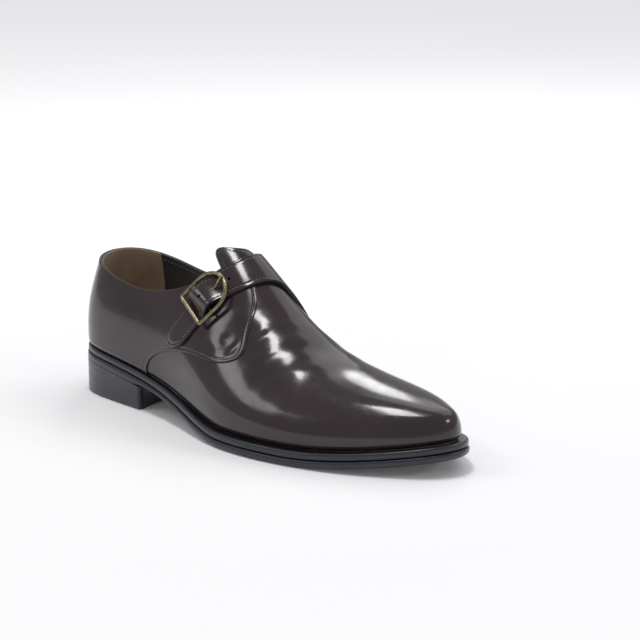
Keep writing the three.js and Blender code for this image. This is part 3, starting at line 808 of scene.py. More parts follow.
def stitch_tree():
    """Stitches of one size along a line: pitch, length, thickness and thread are its inputs."""
    tree = bpy.data.node_groups.new("seam stitches", "GeometryNodeTree")
    add = tree.interface.new_socket
    add("Line", in_out="INPUT", socket_type="NodeSocketGeometry")
    for label, value in (("Pitch", 0.003), ("Length", 0.002), ("Thickness", 0.0005)):
        add(label, in_out="INPUT", socket_type="NodeSocketFloat").default_value = value
    add("Thread", in_out="INPUT", socket_type="NodeSocketMaterial")
    add("Stitches", in_out="OUTPUT", socket_type="NodeSocketGeometry")
    node = tree.nodes.new
    start, end = node("NodeGroupInput"), node("NodeGroupOutput")
    curve, even = node("GeometryNodeMeshToCurve"), node("GeometryNodeResampleCurve")
    even.mode = "LENGTH"
    bead, shape = node("GeometryNodeMeshUVSphere"), node("GeometryNodeTransform")
    bead.inputs["Segments"].default_value = 8
    bead.inputs["Rings"].default_value = 6
    bead.inputs["Radius"].default_value = 0.5
    size, place = node("ShaderNodeCombineXYZ"), node("GeometryNodeInstanceOnPoints")
    tangent, turn = node("GeometryNodeInputTangent"), node("FunctionNodeAlignRotationToVector")
    turn.axis = "Z"
    real, paint = node("GeometryNodeRealizeInstances"), node("GeometryNodeSetMaterial")
    smooth = node("GeometryNodeSetShadeSmooth")
    link = tree.links.new
    link(start.outputs["Line"], curve.inputs["Mesh"])
    link(curve.outputs["Curve"], even.inputs["Curve"])
    link(start.outputs["Pitch"], even.inputs["Length"])
    link(even.outputs["Curve"], place.inputs["Points"])
    link(start.outputs["Thickness"], size.inputs["X"])
    link(start.outputs["Thickness"], size.inputs["Y"])
    link(start.outputs["Length"], size.inputs["Z"])
    link(bead.outputs["Mesh"], shape.inputs["Geometry"])
    link(size.outputs["Vector"], shape.inputs["Scale"])
    link(shape.outputs["Geometry"], place.inputs["Instance"])
    link(tangent.outputs["Tangent"], turn.inputs["Vector"])
    link(turn.outputs["Rotation"], place.inputs["Rotation"])
    link(place.outputs["Instances"], real.inputs["Geometry"])
    link(real.outputs["Geometry"], smooth.inputs["Geometry"])
    link(smooth.outputs["Geometry"], paint.inputs["Geometry"])
    link(start.outputs["Thread"], paint.inputs["Material"])
    link(paint.outputs["Geometry"], end.inputs["Stitches"])
    return tree


def made_real(piece):
    """The piece with its modifiers turned into a plain mesh."""
    graph = bpy.context.evaluated_depsgraph_get()
    mesh = bpy.data.meshes.new_from_object(piece.evaluated_get(graph), depsgraph=graph)
    old = piece.data
    piece.modifiers.clear()
    piece.data = mesh
    bpy.data.meshes.remove(old)
    return piece


def sew(name, lines, sizes, material):
    """One piece of stitches along several lines of points in millimetres."""
    tree = bpy.data.node_groups.get("seam stitches") or stitch_tree()
    points, edges = [], []
    for line in lines:
        line = placed(dense(line, max(20, len(line))))
        edges += [(len(points) + i, len(points) + i + 1) for i in range(len(line) - 1)]
        points += line.tolist()
    mesh = bpy.data.meshes.new(name)
    mesh.from_pydata(points, edges, [])
    piece = bpy.data.objects.new(name, mesh)
    bpy.context.scene.collection.objects.link(piece)
    modifier = piece.modifiers.new("stitches", "NODES")
    modifier.node_group = tree
    values = dict(zip(("Pitch", "Length", "Thickness"), sizes)) | {"Thread": material}
    for item in tree.interface.items_tree:
        if item.in_out == "INPUT" and item.name in values:
            modifier[item.identifier] = values[item.name]
    return made_real(piece)


SEAMS = {}  # lines of stitching left by the panels for the stitching operator


# ------------------------------------------------------------------ upper


def panel(name, top, bottom, middle_rows, height, depth, lines, seams, materials):
    """A leather panel between two curves. Its edges that show are rounded, and hollowed under
    each seam; lines are the edges, as (t, v), and seams how far in each one's stitching lies."""
    tv = ruled(top, bottom, middle_rows)
    t, v = tv[..., 0], tv[..., 1]
    base = on_last(t, v)
    out, deep = height(t, v), depth(t, v)
    distances = []
    for line, seam in zip(lines, seams):
        fine = dense(on_last(line[:, 0], line[:, 1]))
        distance = distance_to(base, fine)
        out = out - edge_drop(distance)
        if seam:
            out = out - seam_hollow(distance, seam)
        distances.append(distance)
    normal = normals(t, v)
    fold = crease(t, v)
    outer = base + normal * (out + fold)[..., None]
    inner = base + normal * (np.minimum(deep, out - 0.3) + fold)[..., None]
    piece = leather_sheet(name, outer, inner, materials)
    return piece, outer, distances


def outer_quarter_curves():
    foot_count, edge_count = 110, 190
    feather_t = np.linspace(0, station(OUTER_EDGE[-1][0]), foot_count)
    feather = np.stack([feather_t, np.full(foot_count, -1.0)], -1)
    edge = smooth_curve(OUTER_EDGE[::-1], edge_count)
    bottom = np.concatenate([feather, edge[1:]])
    turn_t, end_t = station(OUTER_PAIRED_TO), station(OUTER_COLLAR_END_X)
    front_t = np.linspace(turn_t, end_t, edge_count - 30)
    top_t = np.concatenate([np.linspace(0, turn_t, foot_count), front_t[1:]])
    collar = np.stack([top_t, collar_v(top_t, -1)], -1)
    rest = np.linspace(0, 1, 31)[1:, None]
    top = np.concatenate([collar, collar[-1] * (1 - rest) + edge[-1] * rest])
    return top, bottom, collar, edge


def inner_quarter_curves():
    foot_count, low_count, corner_count, strap_count = 90, 110, 30, 170
    feather_t = np.linspace(0, station(INNER_EDGE[0][0]), foot_count)
    feather = np.stack([feather_t, np.full(foot_count, 1.0)], -1)
    edge = smooth_curve(INNER_EDGE, low_count + corner_count)
    v = np.linspace(STRAP[0][0], STRAP_TIP_V, strap_count)
    v = v[0] + (v[-1] - v[0]) * (1 - (1 - np.linspace(0, 1, strap_count)) ** 1.25)
    table = np.array(STRAP, float)[::-1]
    back, front = spline(table[:, 0], table[:, 1])(v), spline(table[:, 0], table[:, 2])(v)
    near_tip = np.clip((v - STRAP_TIP_V) / STRAP_ROUND, 0, 1)
    half = (front - back) / 2 * np.sqrt(1 - (1 - near_tip) ** 2)
    middle = (back + front) / 2
    strap_back = np.stack([station(middle - half), v], -1)
    strap_front = np.stack([station(middle + half), v], -1)
    bottom = np.concatenate([feather, edge[1:], strap_front[1:]])
    turn_t, join_t = station(INNER_PAIRED_TO), station(INNER_COLLAR_END_X)
    t_low = np.concatenate([np.linspace(0, turn_t, foot_count), np.linspace(turn_t, join_t, low_count)[1:]])
    collar = np.stack([t_low, collar_v(t_low, 1)], -1)
    share = np.linspace(0, 1, corner_count + 1)[1:, None]
    bridge = collar[-1] * (1 - share) + strap_back[0] * share
    top = np.concatenate([collar, bridge, strap_back[1:]])
    low, high = len(collar) - corner_count, len(collar) + 2 * corner_count
    for _ in range(CORNER_EASING):  # eases the corner where the opening's edge becomes the strap's
        top[low:high] = (top[low - 1 : high - 1] + top[low + 1 : high + 1]) / 2
    strap_from = len(collar) + corner_count
    return top, bottom[: len(top)], top[:strap_from], top[strap_from:], bottom[foot_count:]


def strap_height(v):
    """The strap's underside: it lies on the instep and climbs over the buckle's middle bar."""
    spread = np.where(np.asarray(v) < BAR_V, HUMP_SPREAD_TIP, HUMP_SPREAD_INSTEP)
    return STRAP_LIFT + HUMP_RISE * np.exp(-(((v - BAR_V) / spread) ** 2))


def eased(v, start, end):
    share = np.clip((v - start) / (end - start), 0, 1)
    return share * share * (3 - 2 * share)


def make_vamp(materials):
    v = np.linspace(-1, 1, 181)
    table = np.array(VAMP_START, float)
    start = station(spline(table[:, 0], table[:, 1])(v))
    rows = np.concatenate([np.array(EDGE_ROWS) / 220, np.linspace(EDGE_ROWS[-1] / 220, 1, 200)[1:]])
    rows = rows[:, None]
    t = start * (1 - rows) + TOE * rows
    v_grid = np.broadcast_to(v, t.shape)
    base = on_last(t, v_grid)
    edge = dense(on_last(start, v), 4000)
    distance = distance_to(base, edge)
    out = -edge_drop(distance, 0.5) - seam_hollow(distance)
    fold = crease(t, v_grid)
    normal = normals(t, v_grid)
    outer = base + normal * (out + fold)[..., None]
    inner = base + normal * (np.minimum(-1.4, out - 0.4) + fold)[..., None]
    tongue = np.abs(v + 0.07) < 0.14
    SEAMS["tongue"] = seam_line(outer[:, tongue], distance[:, tongue], SEAM_INSET)
    return leather_sheet("vamp", outer, inner, materials)


def make_outer_quarter(materials):
    top, bottom, collar, edge = outer_quarter_curves()
    piece, outer, distances = panel(
        "quarter_outer",
        top,
        bottom,
        75,
        lambda t, v: QUARTER_OUT + 0 * t,
        lambda t, v: QUARTER_OUT - LEATHER + 0 * t,
        (edge, collar),
        (SEAM_INSET, 0),
        materials,
    )
    SEAMS["outer_edge"] = seam_line(outer, distances[0], SEAM_INSET, from_top=False)
    return piece


def make_inner_quarter(sizes, materials):
    top, bottom, collar, strap_back, front = inner_quarter_curves()

    def height(t, v):
        on_strap = eased(-v, -0.6, -0.2) * eased(t, station(85.0), station(115.0))
        return QUARTER_OUT * (1 - on_strap) + (strap_height(v) + sizes.strap_thickness / MM) * on_strap

    def depth(t, v):
        on_strap = eased(-v, -0.6, -0.2) * eased(t, station(85.0), station(115.0))
        on_quarter = 0.5 * eased(-v, 0.1, 0.25)
        return (QUARTER_OUT - LEATHER) * (1 - on_strap) + (strap_height(v) + on_quarter) * on_strap

    lines, seams = (collar, strap_back, front), (0, SEAM_INSET, SEAM_INSET)
    piece, outer, distances = panel(
        "quarter_inner_and_strap", top, bottom, 60, height, depth, lines, seams, materials
    )
    both = np.minimum(distances[1], distances[2])
    one = seam_line(outer, both, SEAM_INSET)
    other = seam_line(outer, both, SEAM_INSET, from_top=False)
    SEAMS["strap"] = np.concatenate([one, other[::-1]])
    return piece


def punch_strap(piece):
    """The row of round holes along the strap's middle."""
    table = np.array(STRAP, float)[::-1]
    middle = spline(table[:, 0], (table[:, 1] + table[:, 2]) / 2)
    sides = 20
    depths = (0.2, 1.2, 2.2, 3.4)
    points, faces = [], []
    for i, v in enumerate(STRAP_HOLES):
        t = station(middle(v))
        centre, normal = on_last(t, v), normals(t, v)
        lift = strap_height(v)
        path = [centre + normal * (lift + d) for d in depths]
        made, cut = tube(path, HOLE_RADIUS, sides, ends=False)
        start = i * sides * len(depths)
        top = start + sides * (len(depths) - 1)
        faces += [[start + corner for corner in face] for face in cut]
        faces += [list(range(start, start + sides))[::-1]]
        faces += [list(range(top, top + sides))]
        points.append(made)
    cutter = new_piece("strap_punch", np.concatenate(points), faces, [finish_of("strap cut edge")])
    modifier = piece.modifiers.new("punched holes", "BOOLEAN")
    modifier.object = cutter
    modifier.operation = "DIFFERENCE"
    modifier.solver = "EXACT"
    made_real(piece)
    bpy.data.objects.remove(cutter)


def lining_v(t, rows, side):
    """v of the lining's rows, from the opening's edge down to the feather edge."""
    return collar_v(t, side) * (1 - rows) + side * LINING_END_V * rows


def upright(rows, side, x):
    """The station parameter in each row where the lining is at a true distance from the heel."""
    low, high = np.zeros(len(rows)), np.full(len(rows), float(station(80.0)))
    for _ in range(30):
        middle = (low + high) / 2
        before = on_last(middle, lining_v(middle, rows, side))[:, 0] < x
        low, high = np.where(before, middle, low), np.where(before, high, middle)
    return high


def lining_side(side, from_heel):
    """The faces of one side's lining, behind the upright joint or in front of it."""
    rows = np.concatenate([np.array([0, 0.15, 0.4, 0.9, 1.6, 2.4]) / LINING_DEEP, np.linspace(0.05, 1, 60)])
    joint = upright(rows, side, TAN_LINING_TO)[:, None]
    columns = np.linspace(0, 1, 60 if from_heel else 110)
    t = joint * columns if from_heel else joint + (station(OUTER_COLLAR_END_X) - joint) * columns
    v = np.stack([lining_v(t[:, j], rows, side) for j in range(t.shape[1])], 1)
    base, normal = on_last(t, v), normals(t, v)
    fold = crease(t, v)[..., None]
    drop = edge_drop(rows[:, None] * LINING_DEEP, 0.35)[..., None]
    outer = base + normal * (fold - LINING_FROM)
    inner = base + normal * (fold - LINING_FROM - LINING_THICK + drop)
    return outer, inner


def make_heel_lining(materials):
    """The light lining round the heel, in one band from joint to joint."""
    one, other = lining_side(-1, True), lining_side(1, True)
    outer, inner = (np.concatenate([a[:, ::-1], b[:, 1:]], 1) for a, b in zip(one, other))
    SEAMS["heel_lining"] = inner[7]
    return leather_sheet("heel_lining", inner, outer, materials)


def make_quarter_lining(name, side, materials):
    outer, inner = lining_side(side, False)
    SEAMS[name] = inner[7]
    return leather_sheet(name, inner, outer, materials)


# ------------------------------------------------------------------ sole


def plate(name, edge, count, materials, start=0.0, end=None):
    """A plate along the outline; edge(t) lists the (inward distance, height function) of a side."""
    end = TOE if end is None else end
    share = np.linspace(0, 1, count)
    t = start + (end - start) * (share - 0.09 * np.sin(2 * math.pi * share))
    sides = []
    for side in (-1, 1):
        columns = [inset(t, side, inward(t), height) for inward, height in edge]
        sides.append(np.stack(columns, 1))
    rings = np.concatenate([sides[0], sides[1][:, ::-1]], 1)
    rows, columns = rings.shape[:2]
    faces = grid_faces(rows, columns, closed=True)
    faces.append(list(range(columns)))
    faces.append(list(range((rows - 1) * columns, rows * columns))[::-1])
    return new_piece(name, rings.reshape(-1, 3), faces, materials)


def waist(t):
    return np.exp(-(((outline_x(t) - 106) / 24) ** 2))


def fixed(value):
    return lambda t: value + 0 * t


def make_outsole(materials):
    def low(add):
        return lambda x: under_z(x) + add

    def over_heel(t):
        return 1 - eased(outline_x(t), HEEL_BREAST_X - 6, HEEL_BREAST_X + 4)

    edge = [
        (lambda t: 14 + 0 * t, low(0)),
        (lambda t: (7 + 3 * waist(t)) * (1 - 0.9 * over_heel(t)), low(0)),
        (lambda t: (3.2 + 3.4 * waist(t)) * (1 - 0.93 * over_heel(t)), low(0.03)),
        (lambda t: (1.7 + 3.1 * waist(t)) * (1 - 0.93 * over_heel(t)), low(0.2)),
        (lambda t: (0.9 + 2.0 * waist(t)) * (1 - 0.95 * over_heel(t)), low(0.6)),
        (lambda t: (0.35 + 1.2 * waist(t)) * (1 - 0.95 * over_heel(t)), low(1.2)),
        (lambda t: (0.08 + 0.4 * waist(t)) * (1 - over_heel(t)), low(1.9)),
        (fixed(0), low(2.6)),
        (fixed(0.06), low(3.3)),
        (fixed(0.25), low(3.9)),
        (fixed(0.6), low(4.35)),
        (fixed(1.1), low(OUTSOLE_THICK)),
        (fixed(9), low(OUTSOLE_THICK)),
    ]
    return plate("outsole_leather", edge, 420, materials)


def make_welt(materials):
    bottom = OUTSOLE_THICK + GAP
    profile = (
        (8.5, 0),
        (1.8, 0),
        (1.25, 0.1),
        (0.85, 0.5),
        (0.62, 1.1),
        (0.55, 2.0),
        (0.6, 2.9),
        (0.78, 3.5),
        (1.1, 3.95),
        (1.6, 4.18),
        (2.2, WELT_THICK),
        (3.4, WELT_THICK - 0.05),
        (5.0, WELT_THICK - 0.1),
        (8.5, WELT_THICK - 0.1),
    )
    count = 420
    share = np.linspace(0, 1, count)
    t = TOE * (share - 0.09 * np.sin(2 * math.pi * share))
    rings = []
    for side, order in ((-1, t), (1, t[-2:0:-1])):
        lines = []
        for inward, up in profile:
            lines.append(inset(order, side, inward, lambda x, up=up: under_z(x) + bottom + up))
        rings.append(np.stack(lines, 1))
    ring = np.concatenate(rings)
    rows, columns = ring.shape[:2]
    ring = np.concatenate([ring, ring[:1]])
    faces = grid_faces(rows + 1, columns, closed=True)
    return new_piece("welt_leather", ring.reshape(-1, 3), faces, materials)


def make_heel(materials):
    """The heel's smooth block with its hollow breast."""
    top = float(under_z(0.0))
    profile = [(9, 0.0), (1.3, 0.0), (0.6, 0.2), (0.25, 0.7)]
    profile += [(0.14 - 0.1 * share, 0.7 + (top - 0.7) * share) for share in np.linspace(0, 1, 12)[1:]]
    profile += [(9, top)]
    radius = (BREAST_HALF_WIDTH**2 + BREAST_HOLLOW**2) / (2 * BREAST_HOLLOW)
    centre_x = HEEL_BREAST_X - BREAST_HOLLOW + radius
    t_end = station(HEEL_BREAST_X)
    count = 200
    share = np.linspace(0, 1, count)
    t = t_end * share**1.15

    def lid(x):
        return under_z(x) - 0.05

    sides = []
    for side in (-1, 1):
        columns = []
        for inward, up in profile:
            p = inset(t, side, inward, lambda x, up=up: np.minimum(up, lid(x)))
            columns.append(p)
        sides.append(np.stack(columns, 1))
    rings = np.concatenate([sides[0], sides[1][:, ::-1]], 1)
    limit = centre_x - np.sqrt(np.maximum(radius**2 - rings[..., 1] ** 2, 0))
    over = rings[..., 0] > limit
    rings[..., 0] = np.where(over, limit, rings[..., 0])
    rows, columns = rings.shape[:2]
    faces = grid_faces(rows, columns, closed=True)
    half = len(profile)
    last = (rows - 1) * columns
    fill = 24
    points = rings.reshape(-1, 3)
    start = len(points)
    breast = []
    for i in range(half):
        a, b = rings[-1, i], rings[-1, columns - 1 - i]
        for k in range(1, fill):
            p = a + (b - a) * k / fill
            p[0] = centre_x - math.sqrt(max(radius**2 - p[1] ** 2, 0))
            breast.append(p)
    points = np.concatenate([points, np.array(breast)])

    def at(i, k):
        if k == 0:
            return last + i
        if k == fill:
            return last + columns - 1 - i
        return start + i * (fill - 1) + k - 1

    for i in range(half - 1):
        for k in range(fill):
            faces.append([at(i, k), at(i + 1, k), at(i + 1, k + 1), at(i, k + 1)])
    return new_piece("heel_stack", points, faces, materials)


def make_sock(materials):
    """The insole and its leather sock, seen down through the opening."""
    bottom = OUTSOLE_THICK + GAP + 0.1

    def up(add):
        return lambda x: under_z(x) + bottom + add

    edge = [
        (lambda t: welt_width(t) + 12.0, up(0)),
        (lambda t: welt_width(t) + 3.4, up(0)),
        (lambda t: welt_width(t) + 2.7, up(4.2)),
        (lambda t: welt_width(t) + 3.3, up(4.75)),
        (lambda t: welt_width(t) + 5.0, up(4.9)),
        (lambda t: welt_width(t) + 10.0, up(4.7)),
    ]
    return plate("insole_sock", edge, 220, materials)


# ------------------------------------------------------------------ buckle


def buckle_frame():
    """The buckle's own axes: x along its straight end, y towards the arch, z off the shoe."""

    def at(place):
        x, v, lift = place
        t = station(x)
        return on_last(t, v) + normals(t, v) * lift

    back, front, arch = at(BUCKLE_END_BACK), at(BUCKLE_END_FRONT), at(BUCKLE_ARCH)
    origin = (back + front) / 2
    along = (front - back) / np.linalg.norm(front - back)
    off = np.cross(along, arch - origin)
    off /= np.linalg.norm(off)
    towards = np.cross(off, along)
    return origin, np.stack([along, towards, off])


def on_buckle(points):
    origin, axes = buckle_frame()
    return origin + np.asarray(points, float) @ axes


def rounded_path(points, count, closed=False):
    points = np.asarray(points, float)
    if closed:
        points = np.concatenate([points[-3:], points, points[:4]])
    run = np.concatenate([[0], np.cumsum(np.linalg.norm(np.diff(points, axis=0), axis=1) ** 0.75)])
    curve = spline(run, points)
    if closed:
        return curve(np.linspace(run[3], run[-4], count + 1)[:-1])
    return curve(np.linspace(0, run[-1], count))


def make_buckle(materials):
    half = FRAME_WIDTH / 2
    arm = FRAME_LENGTH - half
    corner = 1.2
    outline = [(x * half, 0, 0) for x in (-0.86, -0.6, -0.3, 0, 0.3, 0.6, 0.86)]
    outline += [(half - 0.35, 0.35, 0), (half, corner + 0.4, 0)]
    outline += [(half, arm * 0.35, 0), (half, arm * 0.7, 0)]
    for i in range(17):
        turn = math.pi * i / 16
        outline.append((half * math.cos(turn), arm + half * math.sin(turn), 0.35 * math.sin(turn)))
    outline += [(-half, arm * 0.7, 0), (-half, arm * 0.35, 0)]
    outline += [(-half, corner + 0.4, 0), (-half + 0.35, 0.35, 0)]
    ring = rounded_path(outline, 260, closed=True)
    points, faces = tube(on_buckle(ring), WIRE_RADIUS, 20, closed=True)
    bar = [(share * half, BAR_AT, -BAR_DROP) for share in (-0.9, -0.4, 0, 0.4, 0.9)]
    bar = [(-half, BAR_AT, 0), *bar, (half, BAR_AT, 0)]
    bar_points, bar_faces = tube(on_buckle(rounded_path(bar, 40)), BAR_RADIUS, 14)
    faces += [[len(points) + i for i in face] for face in bar_faces]
    frame_piece = new_piece("buckle_wire", np.concatenate([points, bar_points]), faces, materials)
    eye_radius = BAR_RADIUS + GAP + EYE_WIRE
    eye = []
    for i in range(40):
        turn = 2 * math.pi * i / 40
        eye.append((0, BAR_AT + eye_radius * math.cos(turn), -BAR_DROP + eye_radius * math.sin(turn)))
    points, faces = tube(on_buckle(eye), EYE_WIRE, 12, closed=True)
    rest = WIRE_RADIUS + PRONG_RADIUS + GAP
    rod = [
        (0, BAR_AT + 1.6, -BAR_DROP + 0.3),
        (0, BAR_AT + 5, -0.2),
        (0, BAR_AT + 9, -0.5),
        (0, BAR_AT + 12, 0),
        (0, FRAME_LENGTH - 1.5, 1.9),
        (0, FRAME_LENGTH, rest),
        (0, FRAME_LENGTH + 1.4, rest - 0.15),
    ]
    path = rounded_path(rod, 60)
    radii = PRONG_RADIUS * np.concatenate([np.ones(46), np.linspace(1, 0.72, 14)])
    rod_points, rod_faces = tube(on_buckle(path), radii, 14)
    faces += [[len(points) + i for i in face] for face in rod_faces]
    prong = new_piece("buckle_tongue", np.concatenate([points, rod_points]), faces, materials)
    return frame_piece, prong


# ------------------------------------------------------------------ properties and operators


def length_of(name, text, default):
    return FloatProperty(name=name, description=text, default=default, unit="LENGTH")


def colour_of(name, text, default):
    return FloatVectorProperty(name=name, description=text, subtype="COLOR", size=3, default=default)


class ShoeSizes(bpy.types.PropertyGroup):
    """Sizes of the shoe's fine parts."""

    strap_thickness: length_of("Strap Thickness", "Strap with its backing", 0.0024)
    stitch_pitch: length_of("Stitch Pitch", "From one stitch to the next", 0.0025)
    stitch_length: length_of("Stitch Length", "One stitch between its holes", 0.0019)
    thread_thickness: length_of("Thread Thickness", "Of the upper's sewing thread", 0.00048)


class ShoeFinish(bpy.types.PropertyGroup):
    """Colours of the shoe's materials."""

    leather: colour_of("Leather", "Polished upper", (0.026, 0.0155, 0.017))
    edge: colour_of("Cut Edge", "Painted leather edges", (0.012, 0.010, 0.010))
    heel_lining: colour_of("Heel Lining", "Light suede at the heel", (0.36, 0.25, 0.155))
    dark_lining: colour_of("Quarter Lining", "Dark lining leather", (0.016, 0.012, 0.010))
    sole: colour_of("Sole", "Blacked sole edge", (0.011, 0.0125, 0.020))
    brass: colour_of("Brass", "Aged buckle metal", (0.30, 0.26, 0.16))
    # The thread is lighter than its own dark brown: in part painted highlight, for the glints along the
    # stitched edges.
    thread: colour_of("Thread", "Sewing thread", (0.15, 0.125, 0.125))


class SHOE_OT_finishes(bpy.types.Operator):
    """Make the shoe's materials"""

    bl_idname = "shoe.finishes"
    bl_label = "Finishes"

    def execute(self, context):
        look = context.scene.shoe_finish
        polished_leather("polished leather", tuple(look.leather))
        cut_edge("strap cut edge", tuple(look.edge))
        suede("tan heel lining", tuple(look.heel_lining), tint(look.heel_lining, 0.7))
        suede("dark quarter lining", tuple(look.dark_lining), tint(look.dark_lining, 0.6))
        sole_edge("blacked sole leather", tuple(look.sole))
        aged_brass("aged brass", tuple(look.brass))
        thread("dark thread", tuple(look.thread))
        floor_finish("pale paper")
        return {"FINISHED"}


def leather_slots():
    return [finish_of("polished leather"), finish_of("strap cut edge"), finish_of("dark quarter lining")]


class SHOE_OT_vamp(bpy.types.Operator):
    """Build the vamp with its tongue"""

    bl_idname = "shoe.vamp"
    bl_label = "Vamp and Tongue"

    def execute(self, context):
        piece = make_vamp(leather_slots())
        finish_piece(piece, "upper_leather", "upper", "tongue")
        return {"FINISHED"}


class SHOE_OT_quarters(bpy.types.Operator):
    """Build the two quarters and the strap"""

    bl_idname = "shoe.quarters"
    bl_label = "Quarters and Strap"

    def execute(self, context):
        sizes = context.scene.shoe_sizes
        outer = make_outer_quarter(leather_slots())
        finish_piece(outer, "upper_leather", "upper")
        inner = make_inner_quarter(sizes, leather_slots())
        punch_strap(inner)
        finish_piece(inner, "upper_leather", "strap")
        return {"FINISHED"}


class SHOE_OT_lining(bpy.types.Operator):
    """Build the linings"""

    bl_idname = "shoe.lining"
    bl_label = "Linings"

    def execute(self, context):
        edge = finish_of("strap cut edge")
        tan = [finish_of("tan heel lining"), edge, finish_of("tan heel lining")]
        dark = [finish_of("dark quarter lining"), edge, finish_of("dark quarter lining")]
        made = [make_heel_lining(tan)]
        made.append(make_quarter_lining("quarter_lining_outer", -1, dark))
        made.append(make_quarter_lining("quarter_lining_inner", 1, dark))
        for piece in made:
            finish_piece(piece, "upper_leather", "upper")
        return {"FINISHED"}


class SHOE_OT_sole(bpy.types.Operator):
    """Build the outsole, welt, heel and insole"""

    bl_idname = "shoe.sole"
    bl_label = "Sole and Heel"

    def execute(self, context):
        black = [finish_of("blacked sole leather")]
        finish_piece(make_outsole(black), "sole_leather", "outsole")
        finish_piece(make_welt(black), "sole_leather", "welt")
        finish_piece(make_heel(black), "sole_leather", "heel")
        finish_piece(make_sock([finish_of("tan heel lining")]), "insole_leather", "insole")
        return {"FINISHED"}


class SHOE_OT_buckle(bpy.types.Operator):
    """Build the buckle's wire frame and its prong"""

    bl_idname = "shoe.buckle"
    bl_label = "Buckle"

    def execute(self, context):
        wire, prong = make_buckle([finish_of("aged brass")])
        finish_piece(wire, "aged_brass", "buckle_frame")
        finish_piece(prong, "aged_brass", "buckle_prong")
        return {"FINISHED"}


class SHOE_OT_stitching(bpy.types.Operator):
    """Sew the seams the panels have left"""

    bl_idname = "shoe.stitching"
    bl_label = "Stitching"

    def execute(self, context):
        size = context.scene.shoe_sizes
        sizes = (size.stitch_pitch, size.stitch_length, size.thread_thickness)
        for name, line in SEAMS.items():
            piece = sew("stitches_" + name, [line], sizes, finish_of("dark thread"))
            finish_piece(piece, "upper_leather")
        return {"FINISHED"}


# ------------------------------------------------------------------ stage

CAMERA_AZIMUTH = 45.7
CAMERA_ELEVATION = 13.6
CAMERA_ROLL = 0.2
CAMERA_DISTANCE = 1.2956
CAMERA_TARGET = (0.01475, 0.03342, 0.06165)
CAMERA_LENS = 121.5
SENSOR = 36.0

# Soft boxes: name, direction (azimuth and elevation), turn, all in degrees, then distance, width,
# height in metres and how bright the box looks.
SOFT_BOXES = (
    ("overhead strip", -21, 82, -20, 1.3, 0.55, 0.22, 17),
    ("left box", -41, 43, 0, 1.5, 0.48, 0.42, 3.2),
    ("back wall", 180, 50, 0, 1.5, 1.6, 1.0, 1.1),
    ("right lamp", 116.4, 23.5, 0, 1.57, 0.26, 0.2, 12),
    ("far lamp", -140, 40, 0, 1.5, 0.15, 0.35, 8),
)


def view_axes():
    a, e, r = (math.radians(x) for x in (CAMERA_AZIMUTH, CAMERA_ELEVATION, CAMERA_ROLL))
    back = Vector((math.sin(a) * math.cos(e), -math.cos(a) * math.cos(e), math.sin(e)))
    right = Vector((math.cos(a), math.sin(a), 0))
    up = back.cross(right)
    return right * math.cos(r) + up * math.sin(r), up * math.cos(r) - right * math.sin(r), back


def add_camera():
    data = bpy.data.cameras.new("camera")
    data.sensor_width = SENSOR
    data.lens = CAMERA_LENS
    data.clip_start, data.clip_end = 0.05, 20
    camera = bpy.data.objects.new("camera", data)
    bpy.context.scene.collection.objects.link(camera)
    right, up, back = view_axes()
    turn = Matrix((right, up, back)).transposed().to_4x4()
    camera.matrix_world = Matrix.Translation(Vector(CAMERA_TARGET) + back * CAMERA_DISTANCE) @ turn
    bpy.context.scene.camera = camera


def add_soft_box(name, azimuth, elevation, turn, distance, width, height, radiance):
    a, e = math.radians(azimuth), math.radians(elevation)
    way = Vector((math.sin(a) * math.cos(e), -math.cos(a) * math.cos(e), math.sin(e)))
    data = bpy.data.lights.new(name, "AREA")
    data.shape = "RECTANGLE"
    data.size, data.size_y = width, height
    data.energy = radiance * math.pi * width * height
    lamp = bpy.data.objects.new(name, data)
    lamp.location = Vector(CAMERA_TARGET) + way * distance
    lamp.rotation_mode = "QUATERNION"
    lamp.rotation_quaternion = (-way).to_track_quat("-Z", "Y") @ Quaternion((0, 0, 1), math.radians(turn))
    bpy.context.scene.collection.objects.link(lamp)


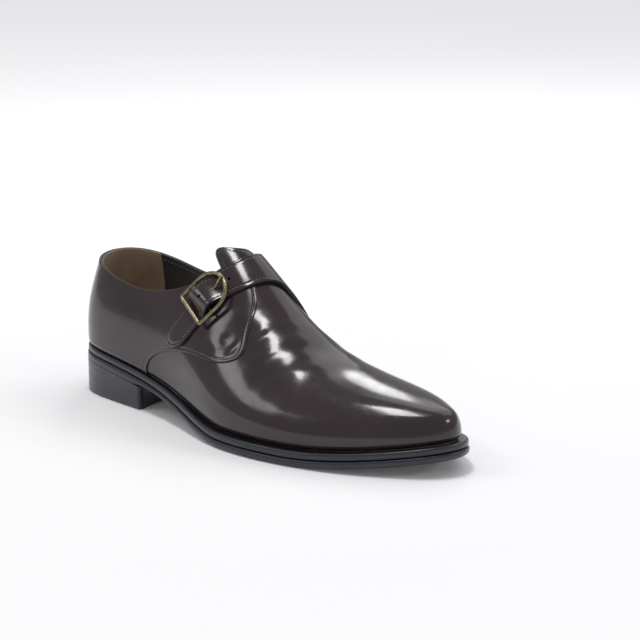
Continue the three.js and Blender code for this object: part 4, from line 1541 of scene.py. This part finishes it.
def add_floor():
    size = 6.0
    mesh = bpy.data.meshes.new("floor")
    corners = [(-size, -size, 0), (size, -size, 0), (size, size, 0), (-size, size, 0)]
    mesh.from_pydata(corners, [], [(0, 1, 2, 3)])
    mesh.materials.append(finish_of("pale paper"))
    floor = bpy.data.objects.new("floor", mesh)
    bpy.context.scene.collection.objects.link(floor)


def add_sky():
    world = bpy.data.worlds.new("studio")
    bpy.context.scene.world = world
    world.use_nodes = True
    background = world.node_tree.nodes["Background"]
    background.inputs["Color"].default_value = (0.96, 0.97, 1.0, 1)
    background.inputs["Strength"].default_value = 0.42


class SHOE_OT_stage(bpy.types.Operator):
    """Set the floor, the lights and the camera"""

    bl_idname = "shoe.stage"
    bl_label = "Stage"

    def execute(self, context):
        add_floor()
        add_sky()
        for row in SOFT_BOXES:
            add_soft_box(*row)
        add_camera()
        context.scene.view_settings.view_transform = "Standard"
        return {"FINISHED"}


class SHOE_PT_panel(bpy.types.Panel):
    """The shoe's steps in the sidebar"""

    bl_label = "Monk Strap Shoe"
    bl_idname = "SHOE_PT_panel"
    bl_space_type = "VIEW_3D"
    bl_region_type = "UI"
    bl_category = "Shoe"

    def draw(self, context):
        for operator in OPERATORS:
            self.layout.operator(operator.bl_idname)
        for group in (context.scene.shoe_sizes, context.scene.shoe_finish):
            for key in group.__annotations__:
                self.layout.prop(group, key)


OPERATORS = (
    SHOE_OT_finishes,
    SHOE_OT_sole,
    SHOE_OT_vamp,
    SHOE_OT_quarters,
    SHOE_OT_lining,
    SHOE_OT_buckle,
    SHOE_OT_stitching,
    SHOE_OT_stage,
)
CLASSES = (ShoeSizes, ShoeFinish, *OPERATORS, SHOE_PT_panel)


def register():
    for kind in CLASSES:
        bpy.utils.register_class(kind)
    bpy.types.Scene.shoe_sizes = PointerProperty(type=ShoeSizes)
    bpy.types.Scene.shoe_finish = PointerProperty(type=ShoeFinish)


def unregister():
    del bpy.types.Scene.shoe_finish
    del bpy.types.Scene.shoe_sizes
    for kind in reversed(CLASSES):
        bpy.utils.unregister_class(kind)


def main():
    register()
    for operator in OPERATORS:
        group, name = operator.bl_idname.split(".")
        getattr(getattr(bpy.ops, group), name)()


if __name__ == "__main__":
    main()
